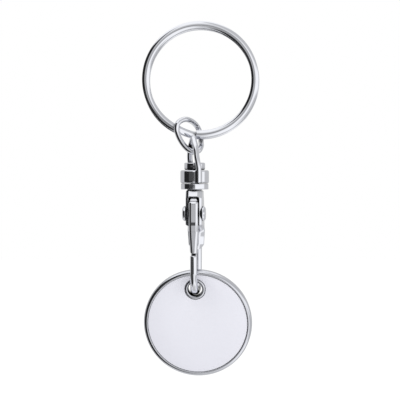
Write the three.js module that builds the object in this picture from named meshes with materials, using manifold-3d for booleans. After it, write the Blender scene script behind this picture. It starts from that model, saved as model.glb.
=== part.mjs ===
// Trolley coin keyring, hanging upright. Millimetres, +Z up, +X to the right, -Y towards the viewer.
// The origin is the inner top of the key ring's lower turn, where a hook or a finger carries it.

import * as THREE from "three";
import { mergeVertices } from "three/addons/utils/BufferGeometryUtils.js";
import Module from "manifold-3d";

const wasm = await Module();
wasm.setup();

// Key ring: flat spring wire wound in two turns, one behind the other, with one crossover
const RING_OUTER_DIAMETER = 25;
const RING_WIRE_WIDTH = 1.6;
const RING_WIRE_THICKNESS = 0.75;
const RING_WIRE_CORNER = 0.2;
const RING_TURN_GAP = 0.45;
const RING_FRONT_SHIFT_X = 0.12;
const RING_FRONT_SHIFT_Z = 0.36;
const RING_CROSSOVER_DEG = -106;
const RING_STEPS_PER_TURN = 64;
const RING_CROSSOVER_STEPS = 4;

// Connecting link: one closed, twisted loop of round wire
const LINK_WIDTH = 6.4;
const LINK_HEIGHT = 8.1;
const LINK_WIRE_DIAMETER = 1.15;
const LINK_SIDE_OFFSET = 2.49;
const LINK_RING_CLEARANCE = 0.5;
const LINK_EYE_CLEARANCE = 0.5;
const LINK_STEPS = 48;

// Swivel eye: a tall arch with a barrel under it, in one casting
const EYE_TURN_DEG = 16.5;
const EYE_SIDE_OFFSET = 1.27;
const EYE_RING_CLEARANCE = 1.02;
const EYE_BAR_PLAY = 1.85;
const EYE_WIRE_WIDTH = 1.2;
const EYE_WIRE_DEPTH = 1.1;
const EYE_ARCH_HEIGHT = 7.56;
const EYE_LEAN = 0.35;
const EYE_LEG_CLEARANCE = 0.17;
const BARREL_DIAMETER = 6.1;
const BARREL_HEIGHT = 2.78;
const BARREL_CHAMFER = 0.35;

// Swivel pin: its head is the collar that stands inside the arch
const PIN_HEAD_DIAMETER = 4.43;
const PIN_HEAD_HEIGHT = 1.55;
const PIN_HEAD_CHAMFER = 0.3;
const PIN_SHANK_DIAMETER = 1.76;
const PIN_RUNNING_GAP = 0.08;
const PIN_SEAT_GAP = 0.04;
const PIN_GRIP = 1.9;
const SWIVEL_PLAY = 0.07;

// Hook body: flange, two cheeks with a slot, spine, bend, front arm and tip in one casting
const HOOK_TURN_DEG = 4.7;
const FLANGE_DIAMETER = 5.7;
const FLANGE_HEIGHT = 1.24;
const FLANGE_CHAMFER = 0.25;
const BODY_WIDTH = 3.4;
const BODY_EDGE = 0.25;
const NECK_FRONT = 2.25;
const NECK_BACK = 2.4;
const SLOT_WIDTH = 2.28;
const SLOT_DROP = 1.6;
const SLOT_CORNER = 0.45;
const SLOT_WALL = 1.6;
const CHEEK_FRONT = 3.1;
const CHEEK_DROP = 8.05;
const CHEEK_ROUND = 1.3;
const CHEEK_THROAT = 0.9;
const SPINE_WIDTH = 2.1;
const SPINE_FAIRING = 4.6;
const FAIRING_WIDTH = 2.8;
const FAIRING_STEP = 0.9;
const HOOK_LENGTH = 22.15;
const HOOK_WIRE_WIDTH = 1.52;
const HOOK_WIRE_DEPTH = 1.6;
const BEND_RADIUS = 3.5;
const BEND_SHIFT = 0.75;
const TIP_DROP = 14.02;

// Trigger lever and its rivet
const PIVOT_DROP = 5.15;
const PIVOT_FRONT = 1.6;
const LEVER_WIDTH = 2.04;
const LEVER_END_WIDTH = 1.4;
const LEVER_EDGE = 0.2;
const LEVER_TOP_GAP = 0.17;
const LEVER_THICKNESS = 1.75;
const LEVER_BOSS_DIAMETER = 2.7;
const LEVER_THUMB_BULGE = 0.8;
const LEVER_NECK_DROP = 9.05;
const LEVER_SEAT_BACK = 0.35;
const LEVER_LAP = 1;
const LEVER_LAP_BLEND = 1.5;
const LEVER_LAP_THICKNESS = 0.85;
const LEVER_LAP_GAP = 0.1;
const RIVET_SHANK_DIAMETER = 1.2;
const RIVET_HEAD_DIAMETER = 3.2;
const RIVET_HEAD_HEIGHT = 0.68;
const RIVET_RUNNING_GAP = 0.08;
const RIVET_SEAT_GAP = 0.04;

// Lever spring: a compression coil between the lever and the slot's back wall
const SPRING_DIAMETER = 1.45;
const SPRING_WIRE_DIAMETER = 0.25;
const SPRING_TURNS = 3.5;
const SPRING_DROP = 1.9;
const SPRING_POCKET_DEPTH = 0.5;
const SPRING_POCKET_GAP = 0.15;
const SPRING_SEAT_GAP = 0.3;

// Coin: rim, web and hole collar in one stamping, with a white disc let into each face
const COIN_DIAMETER = 23.25;
const COIN_THICKNESS = 2.33;
const COIN_RIM_WIDTH = 1.02;
const COIN_EDGE_ROUND = 0.7;
const COIN_RECESS = 0.42;
const COIN_HOLE_DIAMETER = 3;
const COLLAR_RIM_GAP = 0.905;
const COLLAR_DIAMETER = 4.4;
const COIN_ROLL_DEG = 3.2;
const COIN_PITCH_DEG = 12.5;
const COIN_LIFT = 0.22;
const COIN_SHIFT = 0.1;
const COIN_SIDE_SHIFT = 0.09;
const FACE_THICKNESS = 0.25;
const FACE_GLUE_GAP = 0.05;
const FACE_EDGE_GAP = 0.06;

// How far a cutting tool runs past the surface that it opens
const OVERRUN = 0.4;

// Counts of facets
const EYE_STEPS = 44;
const BEND_STEPS = 20;
const SPRING_STEPS_PER_TURN = 8;
const COIN_EDGE_STEPS = 3;
const WIRE_SIDES = 8;
const SPRING_WIRE_SIDES = 5;
const COIN_SIDES = 64;
const TURNED_SIDES = 40;
const BORE_SIDES = 32;
const RIVET_SIDES = 24;

// Sizes that follow from the ones above
const ringRadius = (RING_OUTER_DIAMETER - RING_WIRE_WIDTH) / 2;
const ringCentreZ = -(RING_OUTER_DIAMETER / 2 - RING_WIRE_WIDTH);
const ringHalfThickness = RING_WIRE_THICKNESS + RING_TURN_GAP / 2;
const linkX = -LINK_SIDE_OFFSET;
const linkZ = ringCentreZ - ringRadius;
const linkHalfWidth = (LINK_WIDTH - LINK_WIRE_DIAMETER) / 2;
const linkHalfHeight = (LINK_HEIGHT - LINK_WIRE_DIAMETER) / 2;
const linkRingDepth = ringHalfThickness + LINK_RING_CLEARANCE + LINK_WIRE_DIAMETER / 2;
const eyeLegRadius = (PIN_HEAD_DIAMETER + EYE_WIRE_DEPTH) / 2 + EYE_LEG_CLEARANCE;
const swivelX = linkX + EYE_SIDE_OFFSET;
const swivelY = -(ringHalfThickness + EYE_RING_CLEARANCE + EYE_WIRE_WIDTH / 2);
const barZ = linkZ - linkHalfHeight;
const archTopZ = barZ + LINK_WIRE_DIAMETER / 2 + EYE_BAR_PLAY + EYE_WIRE_WIDTH;
const barrelTopZ = archTopZ - EYE_ARCH_HEIGHT;
const spineY = BEND_SHIFT + BEND_RADIUS;
const armY = BEND_SHIFT - BEND_RADIUS;
const fairingEndZ = -CHEEK_DROP - SPINE_FAIRING;
const flangeTopZ = barrelTopZ - BARREL_HEIGHT - SWIVEL_PLAY;
const hookZ = flangeTopZ - FLANGE_HEIGHT;
const bendZ = -(HOOK_LENGTH - BEND_RADIUS - HOOK_WIRE_DEPTH / 2);
const webThickness = COIN_THICKNESS - 2 * COIN_RECESS;
const rimInnerRadius = COIN_DIAMETER / 2 - COIN_RIM_WIDTH;
const faceRadius = rimInnerRadius - FACE_EDGE_GAP;
const holeOffset = rimInnerRadius - COLLAR_RIM_GAP - COLLAR_DIAMETER / 2;

// Ways to turn an outline drawn in X and Y: seen from the side (Y, Z) or from the front (X, Z)
const SIDE_VIEW = new THREE.Matrix4().makeBasis(
  new THREE.Vector3(0, 1, 0), new THREE.Vector3(0, 0, 1), new THREE.Vector3(1, 0, 0));
const FRONT_VIEW = new THREE.Matrix4().makeBasis(
  new THREE.Vector3(1, 0, 0), new THREE.Vector3(0, 0, 1), new THREE.Vector3(0, -1, 0));

const CHROME = { color: 0xc9ccd0, roughness: 0.14, metalness: 1 };
const DARK_CHROME = { color: 0xb4b7bc, roughness: 0.2, metalness: 1 };
const SPRING_STEEL = { color: 0x9b9da1, roughness: 0.35, metalness: 1 };
const WHITE_LACQUER = { color: 0xe9eaf1, roughness: 0.22, metalness: 0 };

function radians(degrees) {
  return THREE.MathUtils.degToRad(degrees);
}

function solidOf(geometry, matrix) {
  const bare = geometry.clone();
  bare.deleteAttribute("normal");
  bare.deleteAttribute("uv");
  if (matrix) bare.applyMatrix4(matrix);
  const merged = mergeVertices(bare);
  const vertProperties = new Float32Array(merged.attributes.position.array);
  const triVerts = new Uint32Array(merged.index.array);
  return new wasm.Manifold(new wasm.Mesh({ numProp: 3, vertProperties, triVerts }));
}

function geometryOf(solid) {
  const mesh = solid.getMesh();
  const geometry = new THREE.BufferGeometry();
  geometry.setAttribute("position", new THREE.BufferAttribute(mesh.vertProperties, 3));
  geometry.setIndex(new THREE.BufferAttribute(mesh.triVerts, 1));
  return geometry;
}

// A closed skin over rings of points. It is turned inside out if its volume comes out negative.
function skin(rings, closed) {
  const sides = rings[0].length;
  const points = rings.flat();
  const faces = [];
  const spans = closed ? rings.length : rings.length - 1;
  for (let i = 0; i < spans; i += 1) {
    const here = i * sides;
    const next = ((i + 1) % rings.length) * sides;
    for (let j = 0; j < sides; j += 1) {
      const k = (j + 1) % sides;
      faces.push([here + j, here + k, next + k], [here + j, next + k, next + j]);
    }
  }
  if (!closed) {
    const last = (rings.length - 1) * sides;
    for (let j = 1; j < sides - 1; j += 1) {
      faces.push([0, j + 1, j], [last, last + j, last + j + 1]);
    }
  }
  let volume = 0;
  for (const [a, b, c] of faces) {
    volume += points[a].dot(points[b].clone().cross(points[c]));
  }
  const index = faces.flatMap(([a, b, c]) => (volume > 0 ? [a, b, c] : [a, c, b]));
  const geometry = new THREE.BufferGeometry().setFromPoints(points);
  geometry.setIndex(index);
  return geometry;
}

// A ring of points round a place, on an oval with two half axes, from the first axis towards the second
function oval(centre, first, second, sides) {
  return Array.from({ length: sides }, (_, j) => {
    const angle = (2 * Math.PI * (j + 1 / 2)) / sides;
    return centre.clone()
      .addScaledVector(first, Math.cos(angle))
      .addScaledVector(second, Math.sin(angle));
  });
}

function roundWire(curve, diameter, steps, sides, closed) {
  const frames = curve.computeFrenetFrames(steps, closed);
  const count = closed ? steps : steps + 1;
  const rings = Array.from({ length: count }, (_, i) => oval(
    curve.getPointAt(i / steps),
    frames.normals[i].clone().multiplyScalar(diameter / 2),
    frames.binormals[i].clone().multiplyScalar(diameter / 2),
    sides,
  ));
  return skin(rings, closed);
}

// An outline with a thickness, its edges broken by an even bevel, centred on the plane that it is drawn in
function slab(shape, thickness, view, edge) {
  const geometry = new THREE.ExtrudeGeometry(shape, {
    depth: thickness - 2 * edge,
    bevelEnabled: edge > 0,
    bevelThickness: edge,
    bevelSize: edge,
    bevelOffset: -edge,
    bevelSegments: 2,
    curveSegments: 8,
  });
  geometry.translate(0, 0, edge - thickness / 2);
  return solidOf(geometry, view);
}

function outline(points) {
  return new THREE.Shape(points.map(([x, y]) => new THREE.Vector2(x, y)));
}

// A round bar or hole from one place to another
function bar(from, to, diameter, sides) {
  const along = to.clone().sub(from);
  const geometry = new THREE.CylinderGeometry(diameter / 2, diameter / 2, along.length(), sides);
  const turn = new THREE.Quaternion().setFromUnitVectors(
    new THREE.Vector3(0, 1, 0), along.clone().normalize());
  const middle = from.clone().add(to).multiplyScalar(1 / 2);
  return solidOf(geometry, new THREE.Matrix4().compose(middle, turn, new THREE.Vector3(1, 1, 1)));
}

// A disc about the vertical axis with both edges chamfered, from one height to another
function disc(diameter, low, high, chamfer, sides) {
  const radius = diameter / 2;
  const profile = [
    [0, low], [radius - chamfer, low], [radius, low + chamfer],
    [radius, high - chamfer], [radius - chamfer, high], [0, high],
  ];
  return lathe(profile, sides).rotate([90, 0, 0]);
}

// A profile of radius and height turned about the Y axis
function lathe(profile, sides) {
  const points = profile.map(([radius, height]) => new THREE.Vector2(radius, height));
  return solidOf(new THREE.LatheGeometry(points, sides));
}

function named(name, geometry, finish) {
  const mesh = new THREE.Mesh(geometry, new THREE.MeshStandardMaterial(finish));
  mesh.name = name;
  return mesh;
}

function place(x, y, z) {
  return new THREE.Vector3(x, y, z);
}

// Key ring

// Centre of the flat wire at a station: the front turn sits a little up and to the right of the rear one
function ringStation(index) {
  const lastStep = 2 * RING_STEPS_PER_TURN - RING_CROSSOVER_STEPS;
  const crossed = THREE.MathUtils.smoothstep(
    index,
    lastStep / 2 - RING_CROSSOVER_STEPS / 2,
    lastStep / 2 + RING_CROSSOVER_STEPS / 2,
  );
  const turned = (index + RING_CROSSOVER_STEPS / 2) / RING_STEPS_PER_TURN;
  const angle = radians(RING_CROSSOVER_DEG) + 2 * Math.PI * turned;
  const radial = place(Math.cos(angle), 0, Math.sin(angle));
  const pitch = RING_WIRE_THICKNESS + RING_TURN_GAP;
  const centre = place(
    RING_FRONT_SHIFT_X * (1 - crossed),
    pitch * (crossed - 1 / 2),
    ringCentreZ + RING_FRONT_SHIFT_Z * (1 - crossed),
  ).addScaledVector(radial, ringRadius);
  return { centre, radial };
}

function ringSection({ centre, radial }) {
  const halfWidth = RING_WIRE_WIDTH / 2;
  const halfThickness = RING_WIRE_THICKNESS / 2;
  const corner = RING_WIRE_CORNER;
  const quarter = [[halfWidth, halfThickness - corner], [halfWidth - corner, halfThickness]];
  const section = [
    ...quarter,
    ...quarter.map(([w, t]) => [-w, t]).reverse(),
    ...quarter.map(([w, t]) => [-w, -t]),
    ...quarter.map(([w, t]) => [w, -t]).reverse(),
  ];
  return section.map(([w, t]) => centre.clone().addScaledVector(radial, w).add(place(0, t, 0)));
}

function makeKeyRing() {
  const stations = 2 * RING_STEPS_PER_TURN - RING_CROSSOVER_STEPS + 1;
  const rings = Array.from({ length: stations }, (_, i) => ringSection(ringStation(i)));
  const gap = leastGap(rings, RING_STEPS_PER_TURN);
  console.log(`key_ring: least gap between its turns ${gap.toFixed(3)} mm`);
  return named("key_ring", skin(rings, false), CHROME);
}

// The least distance between points of a winding that are more than half a turn apart
function leastGap(rings, stepsPerTurn) {
  let least = Infinity;
  rings.forEach((ring, i) => {
    rings.slice(i + Math.ceil(stepsPerTurn / 2)).forEach((other) => {
      for (const a of ring) {
        for (const b of other) least = Math.min(least, a.distanceTo(b));
      }
    });
  });
  return least;
}

// Connecting link

// Shares of the half width and half height, with the depth as a share of where it passes the key ring
const LINK_PATH_SHARES = [
  [-0.35, 1.0, -0.5],
  [-0.83, 0.81, -0.92],
  [-1.0, 0.45, -1.0],
  [-0.89, 0.08, -1.0],
  [-0.56, -0.42, -1.0],
];
const LINK_REAR_SHARES = [
  [1.0, -0.67, -0.25],
  [1.0, -0.4, 0.75],
  [0.96, 0.02, 1.0],
  [0.78, 0.44, 1.0],
  [0.51, 0.73, 0.7],
  [0.1, 0.94, 0.1],
];
// The stretch through the eye keeps to its own depth, in front of the eye's rear leg
const LINK_BAR_SHARES = [
  [-0.1, -0.82],
  [0.35, -1.0],
  [0.77, -0.95],
];

function linkBarDepth() {
  const legHeight = barZ - barrelTopZ;
  const legY = swivelY + archHalfWidth(legHeight) * Math.cos(radians(EYE_TURN_DEG));
  return legY - EYE_WIRE_DEPTH / 2 - LINK_EYE_CLEARANCE - LINK_WIRE_DIAMETER / 2;
}

function makeLink() {
  const at = (x, z, depth) => place(linkX + x * linkHalfWidth, depth, linkZ + z * linkHalfHeight);
  const route = [
    ...LINK_PATH_SHARES.map(([x, z, y]) => at(x, z, y * linkRingDepth)),
    ...LINK_BAR_SHARES.map(([x, z]) => at(x, z, linkBarDepth())),
    ...LINK_REAR_SHARES.map(([x, z, y]) => at(x, z, y * linkRingDepth)),
  ];
  const curve = new THREE.CatmullRomCurve3(route, true);
  const wire = roundWire(curve, LINK_WIRE_DIAMETER, LINK_STEPS, WIRE_SIDES, true);
  return named("connecting_link", wire, CHROME);
}

// Swivel eye

// Half the arch's width at its centre line, by height above the barrel's top
const ARCH_WIDTH_SHARES = [[0, 1], [0.17, 0.975], [0.42, 0.885], [0.69, 0.66], [0.85, 0.37]];

function archHalfWidth(height) {
  const share = height / (EYE_ARCH_HEIGHT - EYE_WIRE_WIDTH / 2);
  const above = ARCH_WIDTH_SHARES.findIndex(([s]) => s >= share);
  if (above <= 0) return eyeLegRadius * (above === 0 ? 1 : ARCH_WIDTH_SHARES.at(-1)[1]);
  const [s0, w0] = ARCH_WIDTH_SHARES[above - 1];
  const [s1, w1] = ARCH_WIDTH_SHARES[above];
  return eyeLegRadius * THREE.MathUtils.mapLinear(share, s0, s1, w0, w1);
}

function archCurve() {
  const rise = EYE_ARCH_HEIGHT - EYE_WIRE_WIDTH / 2;
  const leanTo = (share) => -EYE_LEAN * THREE.MathUtils.smoothstep(share, 0, 1 / 2);
  const leg = ARCH_WIDTH_SHARES.map(([s, w]) => place(leanTo(s), -w * eyeLegRadius, s * rise));
  const foot = place(0, -eyeLegRadius, -BARREL_HEIGHT);
  const front = [foot, ...leg];
  const rear = front.map((p) => place(p.x, -p.y, p.z)).reverse();
  return new THREE.CatmullRomCurve3([...front, place(-EYE_LEAN, 0, rise), ...rear]);
}

function makeEye() {
  const curve = archCurve();
  const frames = curve.computeFrenetFrames(EYE_STEPS, false);
  const acrossHalf = place(EYE_WIRE_WIDTH / 2, 0, 0);
  const rings = Array.from({ length: EYE_STEPS + 1 }, (_, i) => {
    const outward = frames.tangents[i].clone().cross(place(1, 0, 0)).normalize()
      .multiplyScalar(EYE_WIRE_DEPTH / 2);
    return oval(curve.getPointAt(i / EYE_STEPS), acrossHalf, outward, WIRE_SIDES);
  });
  const barrel = disc(BARREL_DIAMETER, -BARREL_HEIGHT, 0, BARREL_CHAMFER, TURNED_SIDES);
  const bore = bar(
    place(0, 0, -BARREL_HEIGHT - OVERRUN),
    place(0, 0, OVERRUN),
    PIN_SHANK_DIAMETER + 2 * PIN_RUNNING_GAP,
    BORE_SIDES,
  );
  const solid = solidOf(skin(rings, false)).add(barrel).subtract(bore);
  return named("swivel_eye", geometryOf(solid), CHROME);
}

// Swivel pin, drawn about the barrel's top like the eye

function makePin() {
  const headTop = SWIVEL_PLAY + PIN_HEAD_HEIGHT;
  const head = disc(PIN_HEAD_DIAMETER, SWIVEL_PLAY, headTop, PIN_HEAD_CHAMFER, TURNED_SIDES);
  const shank = bar(
    place(0, 0, -BARREL_HEIGHT - SWIVEL_PLAY - PIN_GRIP),
    place(0, 0, SWIVEL_PLAY + PIN_HEAD_HEIGHT / 2),
    PIN_SHANK_DIAMETER,
    BORE_SIDES,
  );
  return named("swivel_pin", geometryOf(head.add(shank)), DARK_CHROME);
}

// Hook body, drawn about the swivel axis and the flange's underside

function bodySide() {
  const shape = new THREE.Shape();
  const spineInner = spineY - HOOK_WIRE_DEPTH / 2;
  const spineOuter = spineY + HOOK_WIRE_DEPTH / 2;
  const throatZ = -CHEEK_DROP - SPINE_FAIRING / 2;
  shape.moveTo(-NECK_FRONT, FLANGE_CHAMFER);
  shape.lineTo(-NECK_FRONT, 0);
  shape.quadraticCurveTo(-CHEEK_FRONT, -SLOT_DROP / 2, -CHEEK_FRONT, -SLOT_DROP);
  shape.lineTo(-CHEEK_FRONT, CHEEK_ROUND - CHEEK_DROP);
  shape.quadraticCurveTo(-CHEEK_FRONT, -CHEEK_DROP, CHEEK_ROUND - CHEEK_FRONT, -CHEEK_DROP);
  shape.lineTo(CHEEK_THROAT, -CHEEK_DROP);
  shape.quadraticCurveTo(spineInner, -CHEEK_DROP, spineInner, throatZ);
  shape.lineTo(spineInner, fairingEndZ);
  shape.lineTo(spineOuter, fairingEndZ);
  shape.lineTo(spineOuter, throatZ);
  shape.quadraticCurveTo(spineOuter, -PIVOT_DROP, (spineY + NECK_BACK) / 2, -SLOT_DROP);
  shape.quadraticCurveTo(NECK_BACK, -SLOT_DROP / 2, NECK_BACK, FLANGE_CHAMFER);
  return shape;
}

function bodyFront() {
  const half = BODY_WIDTH / 2;
  const shoulder = (half + FAIRING_WIDTH / 2) / 2;
  const left = [
    [-half, FLANGE_CHAMFER], [-half, -CHEEK_DROP - BODY_EDGE], [-shoulder, -CHEEK_DROP - BODY_EDGE],
    [-FAIRING_WIDTH / 2, fairingEndZ + FAIRING_STEP], [-SPINE_WIDTH / 2, fairingEndZ],
  ];
  return outline([...left, ...left.map(([x, z]) => [-x, z]).reverse()]);
}

function slotFront() {
  const half = SLOT_WIDTH / 2;
  const low = -CHEEK_DROP - OVERRUN;
  const shape = new THREE.Shape();
  shape.moveTo(-half, low);
  shape.lineTo(half, low);
  shape.lineTo(half, -SLOT_DROP - SLOT_CORNER);
  shape.quadraticCurveTo(half, -SLOT_DROP, half - SLOT_CORNER, -SLOT_DROP);
  shape.lineTo(SLOT_CORNER - half, -SLOT_DROP);
  shape.quadraticCurveTo(-half, -SLOT_DROP, -half, -SLOT_DROP - SLOT_CORNER);
  return shape;
}

// Centre line of the hook's wire, down the spine, round the bend and up the front arm to the tip
function hookLine() {
  const points = [
    new THREE.Vector2(spineY, -CHEEK_DROP),
    new THREE.Vector2(spineY, (bendZ - CHEEK_DROP) / 2),
  ];
  for (let i = 0; i <= BEND_STEPS; i += 1) {
    const angle = -Math.PI * (i / BEND_STEPS);
    points.push(new THREE.Vector2(
      BEND_SHIFT + BEND_RADIUS * Math.cos(angle),
      bendZ + BEND_RADIUS * Math.sin(angle),
    ));
  }
  points.push(new THREE.Vector2(armY, (bendZ - TIP_DROP) / 2));
  points.push(new THREE.Vector2(armY, -TIP_DROP - HOOK_WIRE_DEPTH / 4));
  points.push(new THREE.Vector2(armY, -TIP_DROP));
  return points;
}

function makeHookWire() {
  const line = hookLine();
  const rings = line.map((point, i) => {
    const before = line[Math.max(i - 1, 0)];
    const after = line[Math.min(i + 1, line.length - 1)];
    const along = after.clone().sub(before).normalize();
    const atTip = i === line.length - 1;
    const size = atTip ? 3 / 4 : 1;
    const outward = place(0, along.y, -along.x).multiplyScalar((size * HOOK_WIRE_DEPTH) / 2);
    const narrowed = THREE.MathUtils.smoothstep(-point.x, -spineY, -armY);
    const width = THREE.MathUtils.lerp(SPINE_WIDTH, HOOK_WIRE_WIDTH, narrowed);
    const across = place((size * width) / 2, 0, 0);
    return squareOval(place(0, point.x, point.y), outward, across);
  });
  return solidOf(skin(rings, false));
}

// A section between an oval and a box: twelve points with the corners cut
function squareOval(centre, first, second) {
  const cornerShares = [[1, 0], [0.94, 0.55], [0.6, 0.92]];
  const quarter = (a, b) => cornerShares.map(([p, q]) => centre.clone()
    .addScaledVector(a, p).addScaledVector(b, q));
  const back = first.clone().negate();
  const other = second.clone().negate();
  return [[first, second], [second, back], [back, other], [other, first]]
    .flatMap(([a, b]) => quarter(a, b));
}

function makeHookBody() {
  const side = slab(bodySide(), BODY_WIDTH, SIDE_VIEW, BODY_EDGE);
  const deep = 2 * (spineY + HOOK_WIRE_DEPTH);
  const front = slab(bodyFront(), deep, FRONT_VIEW, 0);
  const slotDepth = CHEEK_FRONT + OVERRUN + SLOT_WALL;
  const slot = slab(slotFront(), slotDepth, FRONT_VIEW, 0)
    .translate([0, SLOT_WALL - slotDepth / 2, 0]);
  const flange = disc(FLANGE_DIAMETER, 0, FLANGE_HEIGHT, FLANGE_CHAMFER, TURNED_SIDES);
  const pinHole = bar(
    place(0, 0, FLANGE_HEIGHT - PIN_GRIP - PIN_SEAT_GAP),
    place(0, 0, FLANGE_HEIGHT + OVERRUN),
    PIN_SHANK_DIAMETER + 2 * PIN_SEAT_GAP,
    BORE_SIDES,
  );
  const rivetHole = bar(
    place(-BODY_WIDTH / 2 - OVERRUN, -PIVOT_FRONT, -PIVOT_DROP),
    place(BODY_WIDTH / 2 + OVERRUN, -PIVOT_FRONT, -PIVOT_DROP),
    RIVET_SHANK_DIAMETER + 2 * RIVET_SEAT_GAP,
    RIVET_SIDES,
  );
  const pocket = bar(
    place(0, SLOT_WALL - OVERRUN, springZ()),
    place(0, SLOT_WALL + SPRING_POCKET_DEPTH, springZ()),
    SPRING_DIAMETER + 2 * SPRING_POCKET_GAP,
    RIVET_SIDES,
  );
  const solid = side.intersect(front).subtract(slot)
    .add(flange).add(makeHookWire())
    .subtract(pinHole).subtract(rivetHole).subtract(pocket);
  return named("hook_body", geometryOf(solid), CHROME);
}

// Trigger lever, drawn shut

function leverSide() {
  const armOuter = armY - HOOK_WIRE_DEPTH / 2;
  const armInner = armOuter + HOOK_WIRE_DEPTH;
  const pivotY = -PIVOT_FRONT;
  const topRadius = PIVOT_DROP - SLOT_DROP - LEVER_TOP_GAP;
  const lapRadius = TIP_DROP - PIVOT_DROP - LEVER_LAP_GAP;
  const bossRadius = LEVER_BOSS_DIAMETER / 2;
  const inner = armOuter + LEVER_THICKNESS;
  const bulge = armOuter - LEVER_THUMB_BULGE;
  const seatY = springSeatY();
  const onArc = (radius, y) => -PIVOT_DROP + Math.sign(radius) * Math.sqrt(radius ** 2 - (y - pivotY) ** 2);
  const lapOuter = armInner + LEVER_LAP_GAP;
  const lapInner = lapOuter + LEVER_LAP_THICKNESS;
  const lapEnd = -TIP_DROP - LEVER_LAP;
  const shape = new THREE.Shape();
  shape.moveTo(armOuter, onArc(-lapRadius, armOuter));
  shape.lineTo((armOuter + lapOuter) / 2, onArc(-lapRadius, (armOuter + lapOuter) / 2));
  shape.lineTo(lapOuter, onArc(-lapRadius, lapOuter));
  shape.lineTo(lapOuter, lapEnd);
  shape.lineTo(lapInner, lapEnd);
  shape.lineTo(lapInner, lapEnd + LEVER_LAP_BLEND);
  shape.lineTo(inner, lapEnd + 2 * LEVER_LAP_BLEND);
  shape.lineTo(inner, -PIVOT_DROP - SPRING_DROP - SPRING_DIAMETER);
  shape.lineTo(seatY, -PIVOT_DROP - SPRING_DROP - SPRING_DIAMETER / 2);
  shape.lineTo(seatY, -PIVOT_DROP - bossRadius);
  shape.absarc(pivotY, -PIVOT_DROP, bossRadius, -Math.PI / 4, Math.PI / 3, false);
  shape.lineTo(pivotY + bossRadius / 2, onArc(topRadius, pivotY + bossRadius / 2));
  shape.lineTo(pivotY, onArc(topRadius, pivotY));
  shape.lineTo(-CHEEK_FRONT + LEVER_EDGE, onArc(topRadius, -CHEEK_FRONT + LEVER_EDGE));
  shape.lineTo(-CHEEK_FRONT, onArc(topRadius, -CHEEK_FRONT) - LEVER_EDGE);
  shape.quadraticCurveTo(armOuter, -PIVOT_DROP, bulge, -PIVOT_DROP - bossRadius);
  shape.quadraticCurveTo(bulge, -PIVOT_DROP - LEVER_BOSS_DIAMETER, armOuter, -LEVER_NECK_DROP);
  return shape;
}

function leverFront() {
  const half = LEVER_WIDTH / 2;
  const endHalf = LEVER_END_WIDTH / 2;
  const low = -TIP_DROP - LEVER_LAP - OVERRUN;
  const high = -SLOT_DROP + OVERRUN;
  return outline([
    [-half, high], [-half, -LEVER_NECK_DROP], [-endHalf, -TIP_DROP], [-endHalf, low],
    [endHalf, low], [endHalf, -TIP_DROP], [half, -LEVER_NECK_DROP], [half, high],
  ]);
}

function makeLever() {
  const side = slab(leverSide(), LEVER_WIDTH, SIDE_VIEW, LEVER_EDGE);
  const front = slab(leverFront(), 2 * (BEND_RADIUS + HOOK_WIRE_DEPTH + LEVER_THUMB_BULGE), FRONT_VIEW, 0);
  const bore = bar(
    place(-LEVER_WIDTH / 2 - OVERRUN, -PIVOT_FRONT, -PIVOT_DROP),
    place(LEVER_WIDTH / 2 + OVERRUN, -PIVOT_FRONT, -PIVOT_DROP),
    RIVET_SHANK_DIAMETER + 2 * RIVET_RUNNING_GAP,
    RIVET_SIDES,
  );
  return named("trigger_lever", geometryOf(side.intersect(front).subtract(bore)), CHROME);
}

// Pivot rivet, turned about its own axis and then laid across the cheeks

function makeRivet() {
  const half = BODY_WIDTH / 2 + RIVET_SEAT_GAP;
  const shank = RIVET_SHANK_DIAMETER / 2;
  const head = RIVET_HEAD_DIAMETER / 2;
  const domeShares = [[1, 0], [0.97, 0.3], [0.8, 0.68], [0.48, 0.92], [0, 1]];
  const dome = domeShares.map(([r, h]) => [r * head, half + h * RIVET_HEAD_HEIGHT]);
  const right = [[shank, half], ...dome];
  const left = right.map(([r, h]) => [r, -h]).reverse();
  const solid = lathe([...left, ...right], RIVET_SIDES).rotate([0, 0, -90])
    .translate([0, -PIVOT_FRONT, -PIVOT_DROP]);
  return named("pivot_rivet", geometryOf(solid), CHROME);
}

// Lever spring

function springZ() {
  return -PIVOT_DROP - SPRING_DROP;
}

function springSeatY() {
  return LEVER_SEAT_BACK - PIVOT_FRONT;
}

function makeSpring() {
  const meanRadius = (SPRING_DIAMETER - SPRING_WIRE_DIAMETER) / 2;
  const from = springSeatY() + SPRING_SEAT_GAP + SPRING_WIRE_DIAMETER / 2;
  const to = SLOT_WALL + SPRING_POCKET_DEPTH - SPRING_SEAT_GAP - SPRING_WIRE_DIAMETER / 2;
  const steps = Math.round(SPRING_TURNS * SPRING_STEPS_PER_TURN);
  const rings = Array.from({ length: steps + 1 }, (_, i) => {
    const angle = (2 * Math.PI * i) / SPRING_STEPS_PER_TURN;
    const radial = place(Math.sin(angle), 0, Math.cos(angle));
    const centre = place(0, THREE.MathUtils.lerp(from, to, i / steps), springZ())
      .addScaledVector(radial, meanRadius);
    const half = SPRING_WIRE_DIAMETER / 2;
    return oval(centre, radial.multiplyScalar(half), place(0, half, 0), SPRING_WIRE_SIDES);
  });
  const gap = leastGap(rings, SPRING_STEPS_PER_TURN);
  console.log(`lever_spring: least gap between its turns ${gap.toFixed(3)} mm`);
  return named("lever_spring", skin(rings, false), SPRING_STEEL);
}

// Coin, drawn about its hole with its axis along Y

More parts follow.
